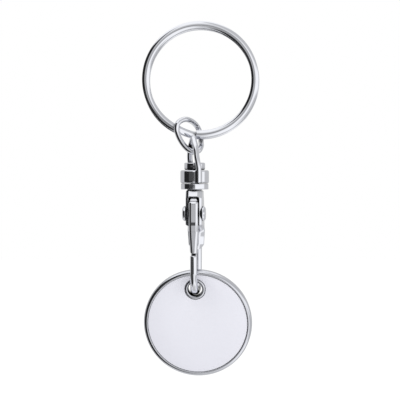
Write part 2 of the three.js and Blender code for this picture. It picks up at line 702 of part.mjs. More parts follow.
function makeCoinBody() {
  const radius = COIN_DIAMETER / 2;
  const half = COIN_THICKNESS / 2;
  const edge = Array.from({ length: COIN_EDGE_STEPS + 1 }, (_, i) => {
    const angle = (Math.PI / 2) * (i / COIN_EDGE_STEPS);
    return [
      radius - COIN_EDGE_ROUND * (1 - Math.sin(angle)),
      -half + COIN_EDGE_ROUND * (1 - Math.cos(angle)),
    ];
  });
  const front = [
    [0, -webThickness / 2], [rimInnerRadius, -webThickness / 2], [rimInnerRadius, -half], ...edge,
  ];
  const back = front.map(([r, h]) => [r, -h]).reverse();
  const hub = [place(0, -half, 0), place(0, half, 0)];
  const through = [place(0, -half - OVERRUN, 0), place(0, half + OVERRUN, 0)];
  const solid = lathe([...front, ...back], COIN_SIDES).translate([0, 0, -holeOffset])
    .add(bar(...hub, COLLAR_DIAMETER, BORE_SIDES))
    .subtract(bar(...through, COIN_HOLE_DIAMETER, BORE_SIDES));
  return named("coin_body", geometryOf(solid), CHROME);
}

// A white disc: side is -1 for the front face and 1 for the back face
function makeCoinFace(name, side) {
  const low = webThickness / 2 + FACE_GLUE_GAP;
  const high = low + FACE_THICKNESS;
  const opening = COLLAR_DIAMETER + 2 * FACE_EDGE_GAP;
  const profile = side > 0
    ? [[0, low], [faceRadius, low], [faceRadius, high], [0, high]]
    : [[0, -high], [faceRadius, -high], [faceRadius, -low], [0, -low]];
  const hub = [place(0, side * (low - OVERRUN), 0), place(0, side * (high + OVERRUN), 0)];
  const solid = lathe(profile, COIN_SIDES).translate([0, 0, -holeOffset])
    .subtract(bar(...hub, opening, BORE_SIDES));
  return named(name, geometryOf(solid), WHITE_LACQUER);
}

// Assembly

const keyring = new THREE.Group();
keyring.add(makeKeyRing(), makeLink());

const eye = new THREE.Group();
eye.position.set(swivelX, swivelY, barrelTopZ);
eye.rotation.z = radians(EYE_TURN_DEG);
eye.add(makeEye());
keyring.add(eye);

const hook = new THREE.Group();
hook.position.set(swivelX, swivelY, hookZ);
hook.rotation.z = radians(-HOOK_TURN_DEG);
const pin = makePin();
pin.position.z = barrelTopZ - hookZ;
hook.add(pin, makeHookBody(), makeLever(), makeRivet(), makeSpring());
keyring.add(hook);

const coin = new THREE.Group();
coin.position.set(COIN_SIDE_SHIFT, BEND_SHIFT + COIN_SHIFT, bendZ - BEND_RADIUS + COIN_LIFT);
coin.rotation.set(radians(COIN_PITCH_DEG), radians(-COIN_ROLL_DEG), 0);
coin.add(makeCoinBody(), makeCoinFace("coin_face_front", -1), makeCoinFace("coin_face_back", 1));
hook.add(coin);

export default keyring;
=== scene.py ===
"""Looks of a coin keyring: split ring, wire link, swivel clasp and a coin with white faces.

Laid out as a Blender add-on and run as a script. Shapes are worked out in millimetres with Z up,
X to the right and -Y towards the viewer, and turned into metres when a mesh is made.
"""

import math

import bpy
import numpy as np
from bpy.props import FloatProperty, FloatVectorProperty, PointerProperty
from bpy.types import Operator, Panel, PropertyGroup
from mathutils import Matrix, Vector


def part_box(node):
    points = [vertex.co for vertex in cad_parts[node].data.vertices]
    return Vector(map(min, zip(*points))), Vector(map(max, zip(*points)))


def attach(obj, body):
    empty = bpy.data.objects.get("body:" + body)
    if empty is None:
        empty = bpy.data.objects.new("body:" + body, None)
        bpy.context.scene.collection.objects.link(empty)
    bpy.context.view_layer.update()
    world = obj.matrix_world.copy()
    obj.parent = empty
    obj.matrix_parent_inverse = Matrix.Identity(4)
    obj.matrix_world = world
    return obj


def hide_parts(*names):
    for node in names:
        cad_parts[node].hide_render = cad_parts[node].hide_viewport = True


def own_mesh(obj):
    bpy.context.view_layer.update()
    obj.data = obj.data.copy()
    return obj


bl_info = {
    "name": "Coin keyring",
    "version": (1, 0, 0),
    "blender": (4, 5, 0),
    "location": "3D View > Sidebar > Keyring",
    "description": "Builds a coin keyring: split ring, wire link, swivel clasp and coin",
    "category": "Add Mesh",
}

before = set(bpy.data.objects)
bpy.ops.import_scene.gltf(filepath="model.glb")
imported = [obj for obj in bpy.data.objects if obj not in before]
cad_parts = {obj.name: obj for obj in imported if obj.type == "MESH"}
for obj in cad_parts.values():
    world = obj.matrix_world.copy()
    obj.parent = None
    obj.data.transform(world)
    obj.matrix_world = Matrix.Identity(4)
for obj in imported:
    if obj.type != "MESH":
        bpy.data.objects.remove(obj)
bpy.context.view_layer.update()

MM = 0.001
LIGHT = (1, 1, 1, 1)

# How finely the pieces are drawn
END_ROWS = 4  # rows of a sweep's rounded end
GRID = 0.1  # cell of a casting's grid, in millimetres
GRID_SHIFTS = (0, 0.37, 0.61, 0.17, 0.83, 0.49)  # shares of a cell, tried in turn
RING_ROWS = 420  # rows in one turn of the key ring's wire
LINK_ROWS = 70  # rows between two of the link's knots
ARCH_ROWS = 24  # points between two of the arch's knots
COIL_ROWS = 36  # rows in one turn of the spring's wire
COIL_SIDES = 14
LINK_SIDES = 36
PIN_SIDES = 128
RIVET_SIDES = 72
COIN_SIDES = 320
DISC_SIDES = 256

# Small rounds and fillets, in millimetres
ARCH_FILLET = 0.22  # between the arch's legs and the barrel
ARCH_FOOT = 0.12  # from the barrel's underside up to the legs' ends
BARREL_BORE_EDGE = 0.1
SLOT_EDGE = 0.16
BOW_ROUND = 0.72
TIP_EDGE = 0.3
BOW_FILLET = 0.35  # between the hook's body and its bow
FLANGE_FILLET = 0.2
HOLE_EDGE = 0.05
LEVER_BORE_EDGE = 0.06
CHEEK_FLARE = (0.7, 0.08)  # height and width by which the cheeks' ends stand out
SHANK_CHAMFER = 0.12
SHANK_FILLET = (0.05, 0.06)
RIVET_LIP = 0.04  # bevel under the rivet's heads
COIL_END = 0.03
COLLAR_ROUND = 0.3
RIM_ROUND = 0.12  # at the rim's inner edge
WEB_FILLET = 0.05
DISC_ROUND = 0.06

# Painted shade in the metal's recesses and between parts: how near the next surface is, in metres,
# and the share of colour left
RECESS_SHADE_REACH = 0.001
RECESS_SHADE_SHARE = 0.04

WIRE_GAP = math.radians(22.5)  # by which the key ring's wire falls short of two full turns

# Where the link's wire runs: shares of its half width and half height, and of its depth
LINK_PATH = [
    [-0.35, 1.0, -0.5],
    [-0.83, 0.81, -0.92],
    [-1.0, 0.45, -1.0],
    [-0.89, 0.08, -1.0],
    [-0.56, -0.42, -1.0],
]
LINK_BAR = [[-0.1, -0.82], [0.35, -1.0], [0.77, -0.95]]
LINK_REAR = [
    [1.0, -0.67, -0.25],
    [1.0, -0.4, 0.75],
    [0.96, 0.02, 1.0],
    [0.78, 0.44, 1.0],
    [0.51, 0.73, 0.7],
    [0.1, 0.94, 0.1],
]
LINK_SEAM_KNOT = len(LINK_PATH) + len(LINK_BAR) + 3
LINK_SEAM_DEPTH = 0.16  # share of the wire's radius

# Half the arch's width by height above the barrel's top, as shares
ARCH_WIDTHS = [[0, 1], [0.17, 0.975], [0.42, 0.885], [0.69, 0.66], [0.85, 0.37]]

# What the metal sees: soft patches laid on a white tent, later ones over earlier ones. Each has its
# azimuths and elevations in degrees from the camera, right and up positive, the width of its soft
# edges (left, right, bottom, top) and its brightness.
TENT_CENTRE = np.array([0, 0, -0.036])
TENT_COLUMNS, TENT_ROWS = 180, 90
TENT_WHITE = 1.15
TENT_PATCHES = {
    "floor_sheet": ((-200, 200), (-100, -50), (1, 1, 1, 26), 0.64),
    "right_lower": ((28, 98), (-44, -5), (12, 16, 12, 8), 0.66),
    "right_upper": ((0, 150), (8, 68), (8, 30, 10, 16), 0.64),
    "right_back": ((80, 182), (-60, 50), (14, 1, 15, 15), 0.62),
    "left_wall": ((-182, -90), (-60, 54), (1, 4, 15, 10), 0.6),
    "flag_fade": ((-56, 10), (-66, 24), (8, 14, 24, 18), 0.55),
    "lens_hood": ((-6, 5), (-8, 6), (4, 4, 4, 4), 0.3),
    "left_flag": ((-95, -12), (-68, 42), (3, 8, 16, 8), 0.02),
}

# The floor, as the camera sees it: half its side in metres, its own glow, and how much light it
# takes up, which is what a shadow takes away
FLOOR_REACH = 4.0
FLOOR_GLOW = 0.8
FLOOR_SHADOW = 0.3

# Two dark cards hung close to the clasp, in millimetres: their heights, sides and distance
CARDS = {"swivel_card": (-34, -25), "arm_card": (-62, -49)}
CARD_ACROSS = (-100, -6)
CARD_DISTANCE = 95
CARD_LEVEL = 0.08

# Soft lamps: azimuth, elevation and distance in metres
SOFTBOX_SIDE = 0.5  # in metres
SOFTBOXES = {"right_softbox": (48, 18, 0.75), "top_softbox": (-20, 68, 0.8)}


# Property helpers


def size(label, description, millimetres):
    """A length given in millimetres and held in metres."""
    return FloatProperty(
        name=label,
        description=description,
        default=millimetres * MM,
        unit="LENGTH",
        precision=5,
    )


def turn(label, description, degrees):
    """An angle given in degrees and held in radians."""
    return FloatProperty(
        name=label,
        description=description,
        default=math.radians(degrees),
        subtype="ANGLE",
    )


def tint(label, description, colour):
    """A colour from 0 to 1 in each channel."""
    return FloatVectorProperty(
        name=label,
        description=description,
        default=colour,
        subtype="COLOR",
        size=3,
        min=0,
        max=1,
    )


def amount(label, description, value):
    """A plain share or strength."""
    return FloatProperty(name=label, description=description, default=value, min=0, soft_max=2)


class RingSizes(PropertyGroup):
    """Sizes of the split key ring"""

    outer_diameter: size("Outer diameter", "Across the outside of the front turn", 24.996)
    wire_width: size("Wire width", "Width of the flat wire, seen from the front", 1.6)
    wire_thickness: size("Wire thickness", "Depth of one turn of the wire", 0.9)
    turn_pitch: size("Turn pitch", "Depth from the front turn's middle to the rear turn's", 1.02)
    rear_shift_x: size("Rear turn right", "How far right the rear turn lies", 0.118)
    front_shift_z: size("Front turn up", "How far up the front turn lies", 0.358)
    crossover: turn("Crossover", "Where the wire steps from front to rear, from the right", -106)
    crown: turn("Crown", "Slope of the wire's front and back at their edges", 47)
    fullness: amount("Fullness", "How flat the middle of the wire's front and back is", 1.7)
    wire_corner: size("Corner", "Round between the crown and the wire's side", 0.07)
    wire_end: size("End rounding", "Round of the wire's two ends", 0.12)


class LinkSizes(PropertyGroup):
    """Sizes of the wire link"""

    width: size("Width", "Outside width of the loop", 6.4)
    height: size("Height", "Outside height of the loop", 8.1)
    wire_diameter: size("Wire diameter", "Round wire", 1.15)
    side_offset: size("Side offset", "How far left of the ring's middle it hangs", 2.49)
    ring_clearance: size("Ring clearance", "Gap in front of and behind the key ring", 0.5)
    eye_clearance: size("Eye clearance", "Gap between its lower bar and the eye's rear leg", 0.5)
    seam_width: size("Seam width", "Groove where the two ends of the wire meet", 0.14)
    step: size("Step", "Distance between two rows of the wire's surface", 0.04)
    easing: size("Easing", "Length over which tight bends are eased", 0.2)


class EyeSizes(PropertyGroup):
    """Sizes of the swivel eye and its barrel"""

    turned: turn("Turned", "Turn of the arch about the swivel's axis", 16.5)
    side_offset: size("Side offset", "How far right of the link the swivel's axis lies", 1.27)
    ring_clearance: size("Ring clearance", "Gap between the key ring and the arch's top", 1.02)
    bar_play: size("Bar play", "Gap between the link's bar and the arch's top", 1.85)
    wire_width: size("Arch width", "Width of the arch's bow", 1.2)
    wire_depth: size("Arch depth", "Depth of the arch's bow", 1.1)
    arch_height: size("Arch height", "From the barrel's top to the arch's top", 7.56)
    lean: size("Lean", "How far the arch's top leans to the left", 0.35)
    leg_clearance: size("Leg clearance", "Gap between the collar and each leg", 0.17)
    barrel_diameter: size("Barrel diameter", "Round part under the arch", 6.1)
    barrel_height: size("Barrel height", "Round part under the arch", 2.78)
    barrel_round: size("Barrel rounding", "Round of the barrel's edges", 0.36)


class PinSizes(PropertyGroup):
    """Sizes of the swivel pin"""

    head_diameter: size("Collar diameter", "Head that stands inside the arch", 4.43)
    head_height: size("Collar height", "Head that stands inside the arch", 1.55)
    head_round: size("Collar rounding", "Round of the collar's edges", 0.28)
    shank_diameter: size("Shank diameter", "Part that turns in the barrel", 1.76)
    running_gap: size("Running gap", "Gap between the shank and the barrel's bore", 0.08)
    seat_gap: size("Seat gap", "Gap between the shank and the hook's hole", 0.04)
    grip: size("Grip", "Length of the shank held in the hook", 1.9)
    play: size("Play", "Gap above and below the barrel", 0.07)


class HookSizes(PropertyGroup):
    """Sizes of the hook's casting"""

    turned: turn("Turned", "Turn of the hook about the swivel's axis", -4.7)
    flange_diameter: size("Flange diameter", "Round flange at the top", 5.88)
    flange_height: size("Flange height", "Round flange at the top", 1.24)
    flange_round: size("Flange rounding", "Round of the flange's edges", 0.13)
    body_width: size("Body width", "Across the two cheeks", 3.52)
    body_round: size("Body rounding", "Round at both sides of the bevel", 0.14)
    body_bevel: size("Body bevel", "From the body's side in to the start of its bevel", 0.78)
    bevel_slope: turn("Bevel slope", "Lean of the bevel from the body's front", 33)
    neck_front: size("Neck front", "From the axis to the neck's front", 2.25)
    neck_back: size("Neck back", "From the axis to the neck's back", 2.4)
    slot_width: size("Slot width", "Between the two cheeks", 2.28)
    slot_drop: size("Slot drop", "From the flange to the slot's top", 1.6)
    slot_corner: size("Slot corner", "Round of the slot's upper corners", 0.45)
    slot_wall: size("Slot back", "From the axis back to the slot's floor", 1.6)
    cheek_front: size("Cheek front", "From the axis to the cheeks' front", 3.1)
    cheek_drop: size("Cheek drop", "From the flange to the cheeks' lower ends", 8.05)
    cheek_round: size("Cheek corner", "Round of the cheeks' lower front corners", 0.6)
    cheek_throat: size("Cheek throat", "From the axis back to where the throat starts", 0.9)
    spine_width: size("Spine width", "Width of the rear bow", 2.35)
    spine_fairing: size("Fairing", "Length over which the cheeks run into the spine", 4.6)
    fairing_width: size("Fairing width", "Width of the fairing's lower end", 3.3)
    fairing_step: size("Fairing step", "Height of the step below the fairing", 0.9)
    length: size("Length", "From the flange's underside to the bend's bottom", 22.15)
    wire_width: size("Arm width", "Width of the front arm", 1.52)
    wire_depth: size("Arm depth", "Depth of the bow from front to back", 1.6)
    bend_radius: size("Bend radius", "Middle line of the lower bend", 3.5)
    bend_drop: size("Bend drop", "How much deeper than round the bend is", 0.28)
    bend_shift: size("Bend shift", "How far behind the axis the bend's middle lies", 0.75)
    tip_drop: size("Tip drop", "From the flange's underside to the arm's tip", 14.02)


class LeverSizes(PropertyGroup):
    """Sizes of the gate lever"""

    pivot_drop: size("Pivot drop", "From the flange's underside to the pivot", 5.15)
    pivot_front: size("Pivot front", "From the axis forward to the pivot", 1.6)
    width: size("Width", "Between the cheeks", 2.04)
    end_width: size("End width", "At the hook's tip", 1.4)
    edge: size("Edge rounding", "Round of the lever's long edges", 0.58)
    top_gap: size("Top gap", "Gap between the lever's top and the slot's top", 0.17)
    top_corner: size("Top corner", "Round at the front of the lever's top", 0.35)
    thickness: size("Thickness", "From the front to the back of its blade", 1.75)
    boss_diameter: size("Boss diameter", "Round part about the pivot", 2.7)
    thumb_bulge: size("Thumb bulge", "How far the thumb rest stands out", 0.3)
    neck_drop: size("Neck drop", "From the flange down to the end of the thumb rest", 9.05)
    seat_back: size("Seat back", "From the pivot back to the spring's seat", 0.35)
    lap: size("Lap", "How far the lever's end passes the hook's tip", 1)
    lap_blend: size("Lap blend", "Length over which the lap thickens", 1.5)
    lap_thickness: size("Lap thickness", "Depth of the lap behind the tip", 0.85)
    lap_gap: size("Lap gap", "Gap between the lap and the tip", 0.1)
    shank_diameter: size("Rivet diameter", "Shank of the pivot rivet", 1.2)
    head_diameter: size("Rivet head", "Diameter of each domed head", 3.2)
    head_height: size("Rivet head height", "Height of each domed head", 0.68)
    head_edge: size("Rivet head edge", "Round of each head's edge", 0.6)
    running_gap: size("Rivet running gap", "Gap between the rivet and the lever's bore", 0.08)
    seat_gap: size("Rivet seat gap", "Gap between the rivet and the cheeks", 0.04)


class SpringSizes(PropertyGroup):
    """Sizes of the lever's spring"""

    diameter: size("Diameter", "Outside of the coil", 1.45)
    wire_diameter: size("Wire diameter", "Spring wire", 0.25)
    turns: amount("Turns", "Turns of the coil", 3.5)
    drop: size("Drop", "From the pivot down to the spring", 1.9)
    pocket_depth: size("Pocket depth", "Depth of the pocket in the hook", 0.5)
    pocket_gap: size("Pocket gap", "Gap between the coil and its pocket", 0.15)
    seat_gap: size("Seat gap", "Gap at each end of the coil", 0.3)
    pressed: amount("Pressed length", "Share of its length with the lever wide open", 0.6)


class CoinSizes(PropertyGroup):
    """Sizes of the coin and its faces"""

    diameter: size("Diameter", "Outside of the coin, a hair inside the solid's facets", 23.17)
    thickness: size("Thickness", "Over the two rims", 2.33)
    rim_width: size("Rim width", "Width of the raised rim", 0.88)
    edge_round: size("Edge rounding", "Round of the coin's front edge", 0.66)
    back_round: size("Back edge rounding", "Round of the coin's back edge", 0.86)
    recess: size("Recess", "From the rim down to the web", 0.42)
    hole_diameter: size("Hole diameter", "Hole for the hook", 3)
    collar_diameter: size("Collar diameter", "Raised collar about the hole", 4.4)
    collar_rim_gap: size("Collar gap", "From the collar to the rim", 1.005)
    roll: turn("Roll", "Swing to one side", 3.2)
    pitch: turn("Pitch", "Tilt of the coin's lower edge to the back", 12.5)
    lift: size("Lift", "Height of the hole's middle over the bend's line", 0.22)
    shift: size("Shift", "How far behind the bend's middle the hole lies", 0.1)
    side_shift: size("Side shift", "How far right the coin hangs", 0.09)
    face_thickness: size("Face thickness", "White disc", 0.25)
    glue_gap: size("Glue gap", "Between the web and a white disc", 0.05)
    edge_gap: size("Edge gap", "Between a white disc and the metal round it", 0.06)


class Finishes(PropertyGroup):
    """Colours and polish of the surfaces"""

    nickel: tint("Nickel", "Bright nickel plate", (0.777, 0.789, 0.835))
    coin_nickel: tint("Coin nickel", "Plate of the stamped coin", (0.682, 0.693, 0.741))
    spring_steel: tint("Spring steel", "Bare drawn wire", (0.55, 0.56, 0.58))
    lacquer: tint("Lacquer", "White of the coin's faces", (0.884, 0.886, 0.943))
    polish: amount("Roughness", "Roughness of the polished plate", 0.07)
    lacquer_gloss: amount("Lacquer roughness", "Roughness of the white faces", 0.2)


class Studio(PropertyGroup):
    """Camera, floor and light"""

    camera_distance: FloatProperty(
        name="Camera distance",
        description="From the keyring's plane to the camera",
        default=1.2,
        unit="LENGTH",
    )
    frame_side: size("Frame side", "Side of the square that the camera sees at the keyring", 85.63)
    aim_x: size("Aim across", "Middle of the picture, across", -0.086)
    aim_z: size("Aim height", "Middle of the picture, upwards", -36.36)
    floor_drop: size("Floor drop", "From the origin down to the floor", 92)
    floor_tint: tint("Floor colour", "Pale floor and backdrop", (0.86, 0.86, 0.89))
    day_level: amount("Studio level", "Even light from all round", 0.82)
    softbox_level: amount("Softbox level", "Brightness of the soft lamps", 1.3)
    tent_radius: FloatProperty(
        name="Tent radius",
        description="From the keyring to the tent that its metal mirrors",
        default=0.8,
        unit="LENGTH",
    )


GROUPS = {
    "keyring_ring": RingSizes,
    "keyring_link": LinkSizes,
    "keyring_eye": EyeSizes,
    "keyring_pin": PinSizes,
    "keyring_hook": HookSizes,
    "keyring_lever": LeverSizes,
    "keyring_spring": SpringSizes,
    "keyring_coin": CoinSizes,
    "keyring_finishes": Finishes,
    "keyring_studio": Studio,
}


class Millimetres:
    """Reads a property group's lengths in millimetres."""

    def __init__(self, group):
        self.group = group

    def __getattr__(self, name):
        return getattr(self.group, name) / MM


class Layout:
    """Where the pieces hang, worked out from their sizes."""

    def __init__(self, scene):
        self.ring = Millimetres(scene.keyring_ring)
        self.link = Millimetres(scene.keyring_link)
        self.eye = Millimetres(scene.keyring_eye)
        self.pin = Millimetres(scene.keyring_pin)
        self.hook = Millimetres(scene.keyring_hook)
        self.lever = Millimetres(scene.keyring_lever)
        self.spring = Millimetres(scene.keyring_spring)
        self.coin = Millimetres(scene.keyring_coin)
        ring, link, eye, pin, hook = self.ring, self.link, self.eye, self.pin, self.hook
        self.ring_radius = (ring.outer_diameter - ring.wire_width) / 2
        self.ring_centre_z = ring.wire_width - ring.outer_diameter / 2
        _, ring_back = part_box("key_ring")
        self.ring_half_depth = ring_back.y / MM
        self.link_x = -link.side_offset
        self.link_z = self.ring_centre_z - self.ring_radius
        self.link_half_width = (link.width - link.wire_diameter) / 2
        self.link_half_height = (link.height - link.wire_diameter) / 2
        self.link_depth = self.ring_half_depth + link.ring_clearance + link.wire_diameter / 2
        self.leg_radius = (pin.head_diameter + eye.wire_depth) / 2 + eye.leg_clearance
        self.swivel_x = self.link_x + eye.side_offset
        self.swivel_y = -(self.ring_half_depth + eye.ring_clearance + eye.wire_width / 2)
        self.bar_z = self.link_z - self.link_half_height
        self.arch_top = self.bar_z + link.wire_diameter / 2 + eye.bar_play + eye.wire_width
        self.barrel_top = self.arch_top - eye.arch_height
        self.hook_z = self.barrel_top - eye.barrel_height - pin.play - hook.flange_height
        self.spine_y = hook.bend_shift + hook.bend_radius
        self.arm_y = hook.bend_shift - hook.bend_radius
        self.bend_z = -(hook.length - hook.bend_radius - hook.wire_depth / 2)
        self.fairing_end = -hook.cheek_drop - hook.spine_fairing
        self.spring_z = -self.lever.pivot_drop - self.spring.drop
        self.spring_seat = self.lever.seat_back - self.lever.pivot_front

    def eye_place(self, points):
        """Points drawn about the barrel's top, in the whole keyring's place."""
        turned = spin_z(points, self.eye.group.turned)
        return turned + np.array([self.swivel_x, self.swivel_y, self.barrel_top])

    def hook_place(self, points):
        """Points drawn about the flange's underside, in the whole keyring's place."""
        turned = spin_z(points, self.hook.group.turned)
        return turned + np.array([self.swivel_x, self.swivel_y, self.hook_z])

    def coin_place(self, points):
        """Points drawn about the coin's hole, in the whole keyring's place."""
        coin, hook = self.coin, self.hook
        rolled = spin_y(points, -coin.group.roll)
        tilted = spin_x(rolled, coin.group.pitch)
        hole = np.array([
            coin.side_shift,
            hook.bend_shift + coin.shift,
            self.bend_z - hook.bend_radius + coin.lift,
        ])
        return self.hook_place(tilted + hole)


def eased(value):
    """From 0 to 1 with soft ends."""
    value = np.clip(value, 0, 1)
    return value * value * (3 - 2 * value)


def spin_x(points, angle):
    c, s = math.cos(angle), math.sin(angle)
    return points @ np.array([[1, 0, 0], [0, c, s], [0, -s, c]])


def spin_y(points, angle):
    c, s = math.cos(angle), math.sin(angle)
    return points @ np.array([[c, 0, -s], [0, 1, 0], [s, 0, c]])


def spin_z(points, angle):
    c, s = math.cos(angle), math.sin(angle)
    return points @ np.array([[c, s, 0], [-s, c, 0], [0, 0, 1]])


# Meshes


def grid_faces(rows, columns, closed):
    """Four-sided faces over rows of points that are closed round, and closed along where asked."""
    r = np.arange(rows if closed else rows - 1)[:, None]
    c = np.arange(columns)[None, :]
    here, after = r * columns, ((r + 1) % rows) * columns
    across = (c + 1) % columns
    corners = [here + c, here + across, after + across, after + c]
    return np.stack([np.broadcast_to(k, (len(r), columns)) for k in corners], -1).reshape(-1, 4)


def outward(points, faces):
    """The faces, turned over where they would face inwards."""
    a, b, c, d = (points[faces[:, k]] for k in range(4))
    volume = np.sum(a * np.cross(b, c)) + np.sum(a * np.cross(c, d))
    return faces if volume > 0 else faces[:, ::-1]


def closed_ends(points, faces, rows, columns):
    """Rows of a sweep closed at both ends with a fan about a middle point."""
    first, last = points[:columns].mean(0), points[-columns:].mean(0)
    count = len(points)
    loop = np.arange(columns)
    after = (loop + 1) % columns
    start = (rows - 1) * columns
    head = np.stack([after, loop, np.full(columns, count)], -1)
    tail = np.stack([start + loop, start + after, np.full(columns, count + 1)], -1)
    flipped = not np.array_equal(faces, outward(points, faces))
    fans = np.vstack([head, tail])
    if flipped:
        faces, fans = faces[:, ::-1], fans[:, ::-1]
    return np.vstack([points, first, last]), faces.tolist() + fans.tolist()


def sweep(centres, across, deep, section, closed, end_round=0.0):
    """A section of pairs carried along a line of points, with its ends rounded and closed."""
    scales = np.ones(len(centres))
    if not closed:
        along = np.gradient(centres, axis=0)
        along /= np.linalg.norm(along, axis=1)[:, None]
        lean = np.linspace(0, math.pi / 2, END_ROWS + 1)[:-1]
        shrink = 1 - end_round / np.abs(section).max() * (1 - np.sin(lean))
        offset = end_round * (1 - np.cos(lean))
        head = centres[0] + along[0] * offset[:, None]
        tail = centres[-1] - along[-1] * offset[::-1, None]
        repeats = np.ones(len(centres), int)
        repeats[[0, -1]] = END_ROWS
        across, deep = np.repeat(across, repeats, 0), np.repeat(deep, repeats, 0)
        scales = np.concatenate([shrink, scales[1:-1], shrink[::-1]])
        centres = np.vstack([head, centres[1:-1], tail])
    wide, thick = (section[None, :, k, None] * scales[:, None, None] for k in (0, 1))
    points = centres[:, None] + across[:, None] * wide + deep[:, None] * thick
    points = points.reshape(-1, 3)
    rows, columns = len(centres), len(section)
    faces = grid_faces(rows, columns, closed)
    if closed:
        return points, outward(points, faces).tolist()
    return closed_ends(points, faces, rows, columns)


def rounded_section(half_width, half_depth, power, count):
    """A closed outline between an oval (power 2) and a box (high power)."""
    angle = 2 * math.pi * (np.arange(count) + 0.5) / count
    c, s = np.cos(angle), np.sin(angle)
    return np.stack([
        half_width * np.sign(c) * np.abs(c) ** (2 / power),
        half_depth * np.sign(s) * np.abs(s) ** (2 / power),
    ], -1)


def crowned_section(half_width, half_depth, slope, fullness, corner):
    """A closed outline, its front and back flat in the middle and steeper to the edges."""
    reach = half_width - corner * (1 - math.sin(slope))
    across = reach * np.linspace(0, 1, 15)
    lean = slope * np.linspace(0, 1, 15) ** fullness
    fall = np.tan((lean[1:] + lean[:-1]) / 2) * np.diff(across)
    height = half_depth - np.concatenate([[0], np.cumsum(fall)])
    bend = np.linspace(slope, math.pi / 2, 5)[1:]
    u = np.concatenate([across, half_width - corner * (1 - np.sin(bend))])
    v = np.concatenate([height, height[-1] + corner * (np.cos(bend) - math.cos(slope))])
    quarter = np.stack([u, v], -1)
    right = np.vstack([quarter, quarter[::-1] * [1, -1]])
    return np.vstack([right, right[-2:0:-1] * [-1, 1]])


def turned_solid(profile, count):
    """A profile of (radius, height) pairs turned about Z; its first and last radius are zero."""
    profile = np.asarray(profile, float)
    angle = 2 * math.pi * np.arange(count) / count
    inner = profile[1:-1]
    ring = np.stack([
        inner[:, :1] * np.cos(angle),
        inner[:, :1] * np.sin(angle),
        np.repeat(inner[:, 1:], count, 1),
    ], -1)
    points = ring.reshape(-1, 3)
    return closed_ends(points, grid_faces(len(inner), count, False), len(inner), count)


def arc(centre, radius, start, stop, count):
    """Points on an arc in a profile, angles in degrees."""
    angles = np.radians(np.linspace(start, stop, count))
    return [(centre[0] + radius * math.cos(a), centre[1] + radius * math.sin(a)) for a in angles]


def open_edges(faces):
    """How many edges are not passed once each way by two faces."""
    rows = {}
    for face in faces:
        rows.setdefault(len(face), []).append(face)
    edges = []
    for same in rows.values():
        same = np.array(same, np.int64)
        edges.append(np.stack([same, np.roll(same, -1, 1)], -1).reshape(-1, 2))
    start, end = np.vstack(edges).T
    size = max(start.max(), end.max()) + 1
    there, again = np.sort(start * size + end), np.sort(end * size + start)
    return int(np.sum(there != again)) + int(np.sum(np.diff(there) == 0))


def solid(name, points, faces, finish, body, node, normals=None):
    """A closed mesh that stands for a CAD node, on its body."""
    mesh = bpy.data.meshes.new(name)
    mesh.from_pydata((np.asarray(points) * MM).tolist(), [], faces)
    mesh.validate()
    if open_edges(faces):
        raise RuntimeError(f"{name} is not closed")
    mesh.shade_smooth()
    if normals is not None:
        mesh.normals_split_custom_set_from_vertices(normals.tolist())
    mesh.materials.append(finish)
    thing = bpy.data.objects.new(name, mesh)
    bpy.context.scene.collection.objects.link(thing)
    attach(thing, body)
    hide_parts(node)
    return thing


# Closed curves through points


def smooth_path(knots, closed, per_span):
    """A centripetal Catmull-Rom curve through the knots."""
    knots = np.asarray(knots, float)
    count = len(knots)
    spans = count if closed else count - 1
    out = []
    for i in range(spans):
        if closed:
            p = [knots[(i + k) % count] for k in (-1, 0, 1, 2)]
        else:
            before = knots[i - 1] if i else 2 * knots[0] - knots[1]
            after = knots[i + 2] if i + 2 < count else 2 * knots[-1] - knots[-2]
            p = [before, knots[i], knots[i + 1], after]
        d = [np.linalg.norm(p[k + 1] - p[k]) ** 0.5 for k in range(3)]
        m1 = (p[1] - p[0]) / d[0] - (p[2] - p[0]) / (d[0] + d[1]) + (p[2] - p[1]) / d[1]
        m2 = (p[2] - p[1]) / d[1] - (p[3] - p[1]) / (d[1] + d[2]) + (p[3] - p[2]) / d[2]
        m1, m2 = m1 * d[1], m2 * d[1]
        t = (np.arange(per_span) / per_span)[:, None]
        out.append(
            (2 * t**3 - 3 * t**2 + 1) * p[1] + (t**3 - 2 * t**2 + t) * m1
            + (3 * t**2 - 2 * t**3) * p[2] + (t**3 - t**2) * m2
        )
    if not closed:
        out.append(knots[-1:])
    return np.vstack(out)


def evened(points, spacing, softness):
    """A closed line with even steps, its tight bends eased over a length."""
    closed = np.vstack([points, points[:1]])
    along = np.concatenate([[0], np.cumsum(np.linalg.norm(np.diff(closed, axis=0), axis=1))])
    count = round(along[-1] / spacing)
    at = along[-1] * np.arange(count) / count
    even = np.stack([np.interp(at, along, closed[:, k]) for k in range(3)], -1)
    wave = np.fft.rfftfreq(count, along[-1] / count)[:, None]
    calm = np.exp(-2 * (math.pi * wave * softness) ** 2)
    return np.fft.irfft(np.fft.rfft(even, axis=0) * calm, count, axis=0)


def carried_frames(points):
    """Two directions across a closed line, carried along it without twisting and closed evenly."""
    along = np.roll(points, -1, 0) - np.roll(points, 1, 0)
    along /= np.linalg.norm(along, axis=1)[:, None]
    first = np.cross(along[0], [0, 1, 0])
    across = [first / np.linalg.norm(first)]
    for t in along[1:]:
        moved = across[-1] - t * np.dot(across[-1], t)
        across.append(moved / np.linalg.norm(moved))
    across = np.array(across)
    deep = np.cross(along, across)
    closing = across[-1] - along[0] * np.dot(across[-1], along[0])
    miss = math.atan2(np.dot(closing, deep[0]), np.dot(closing, across[0]))
    back = -miss * np.arange(len(points)) / len(points)
    c, s = np.cos(back)[:, None], np.sin(back)[:, None]
    return across * c + deep * s, deep * c - across * s


# Castings: distances to blended forms, meshed and pulled onto the surface


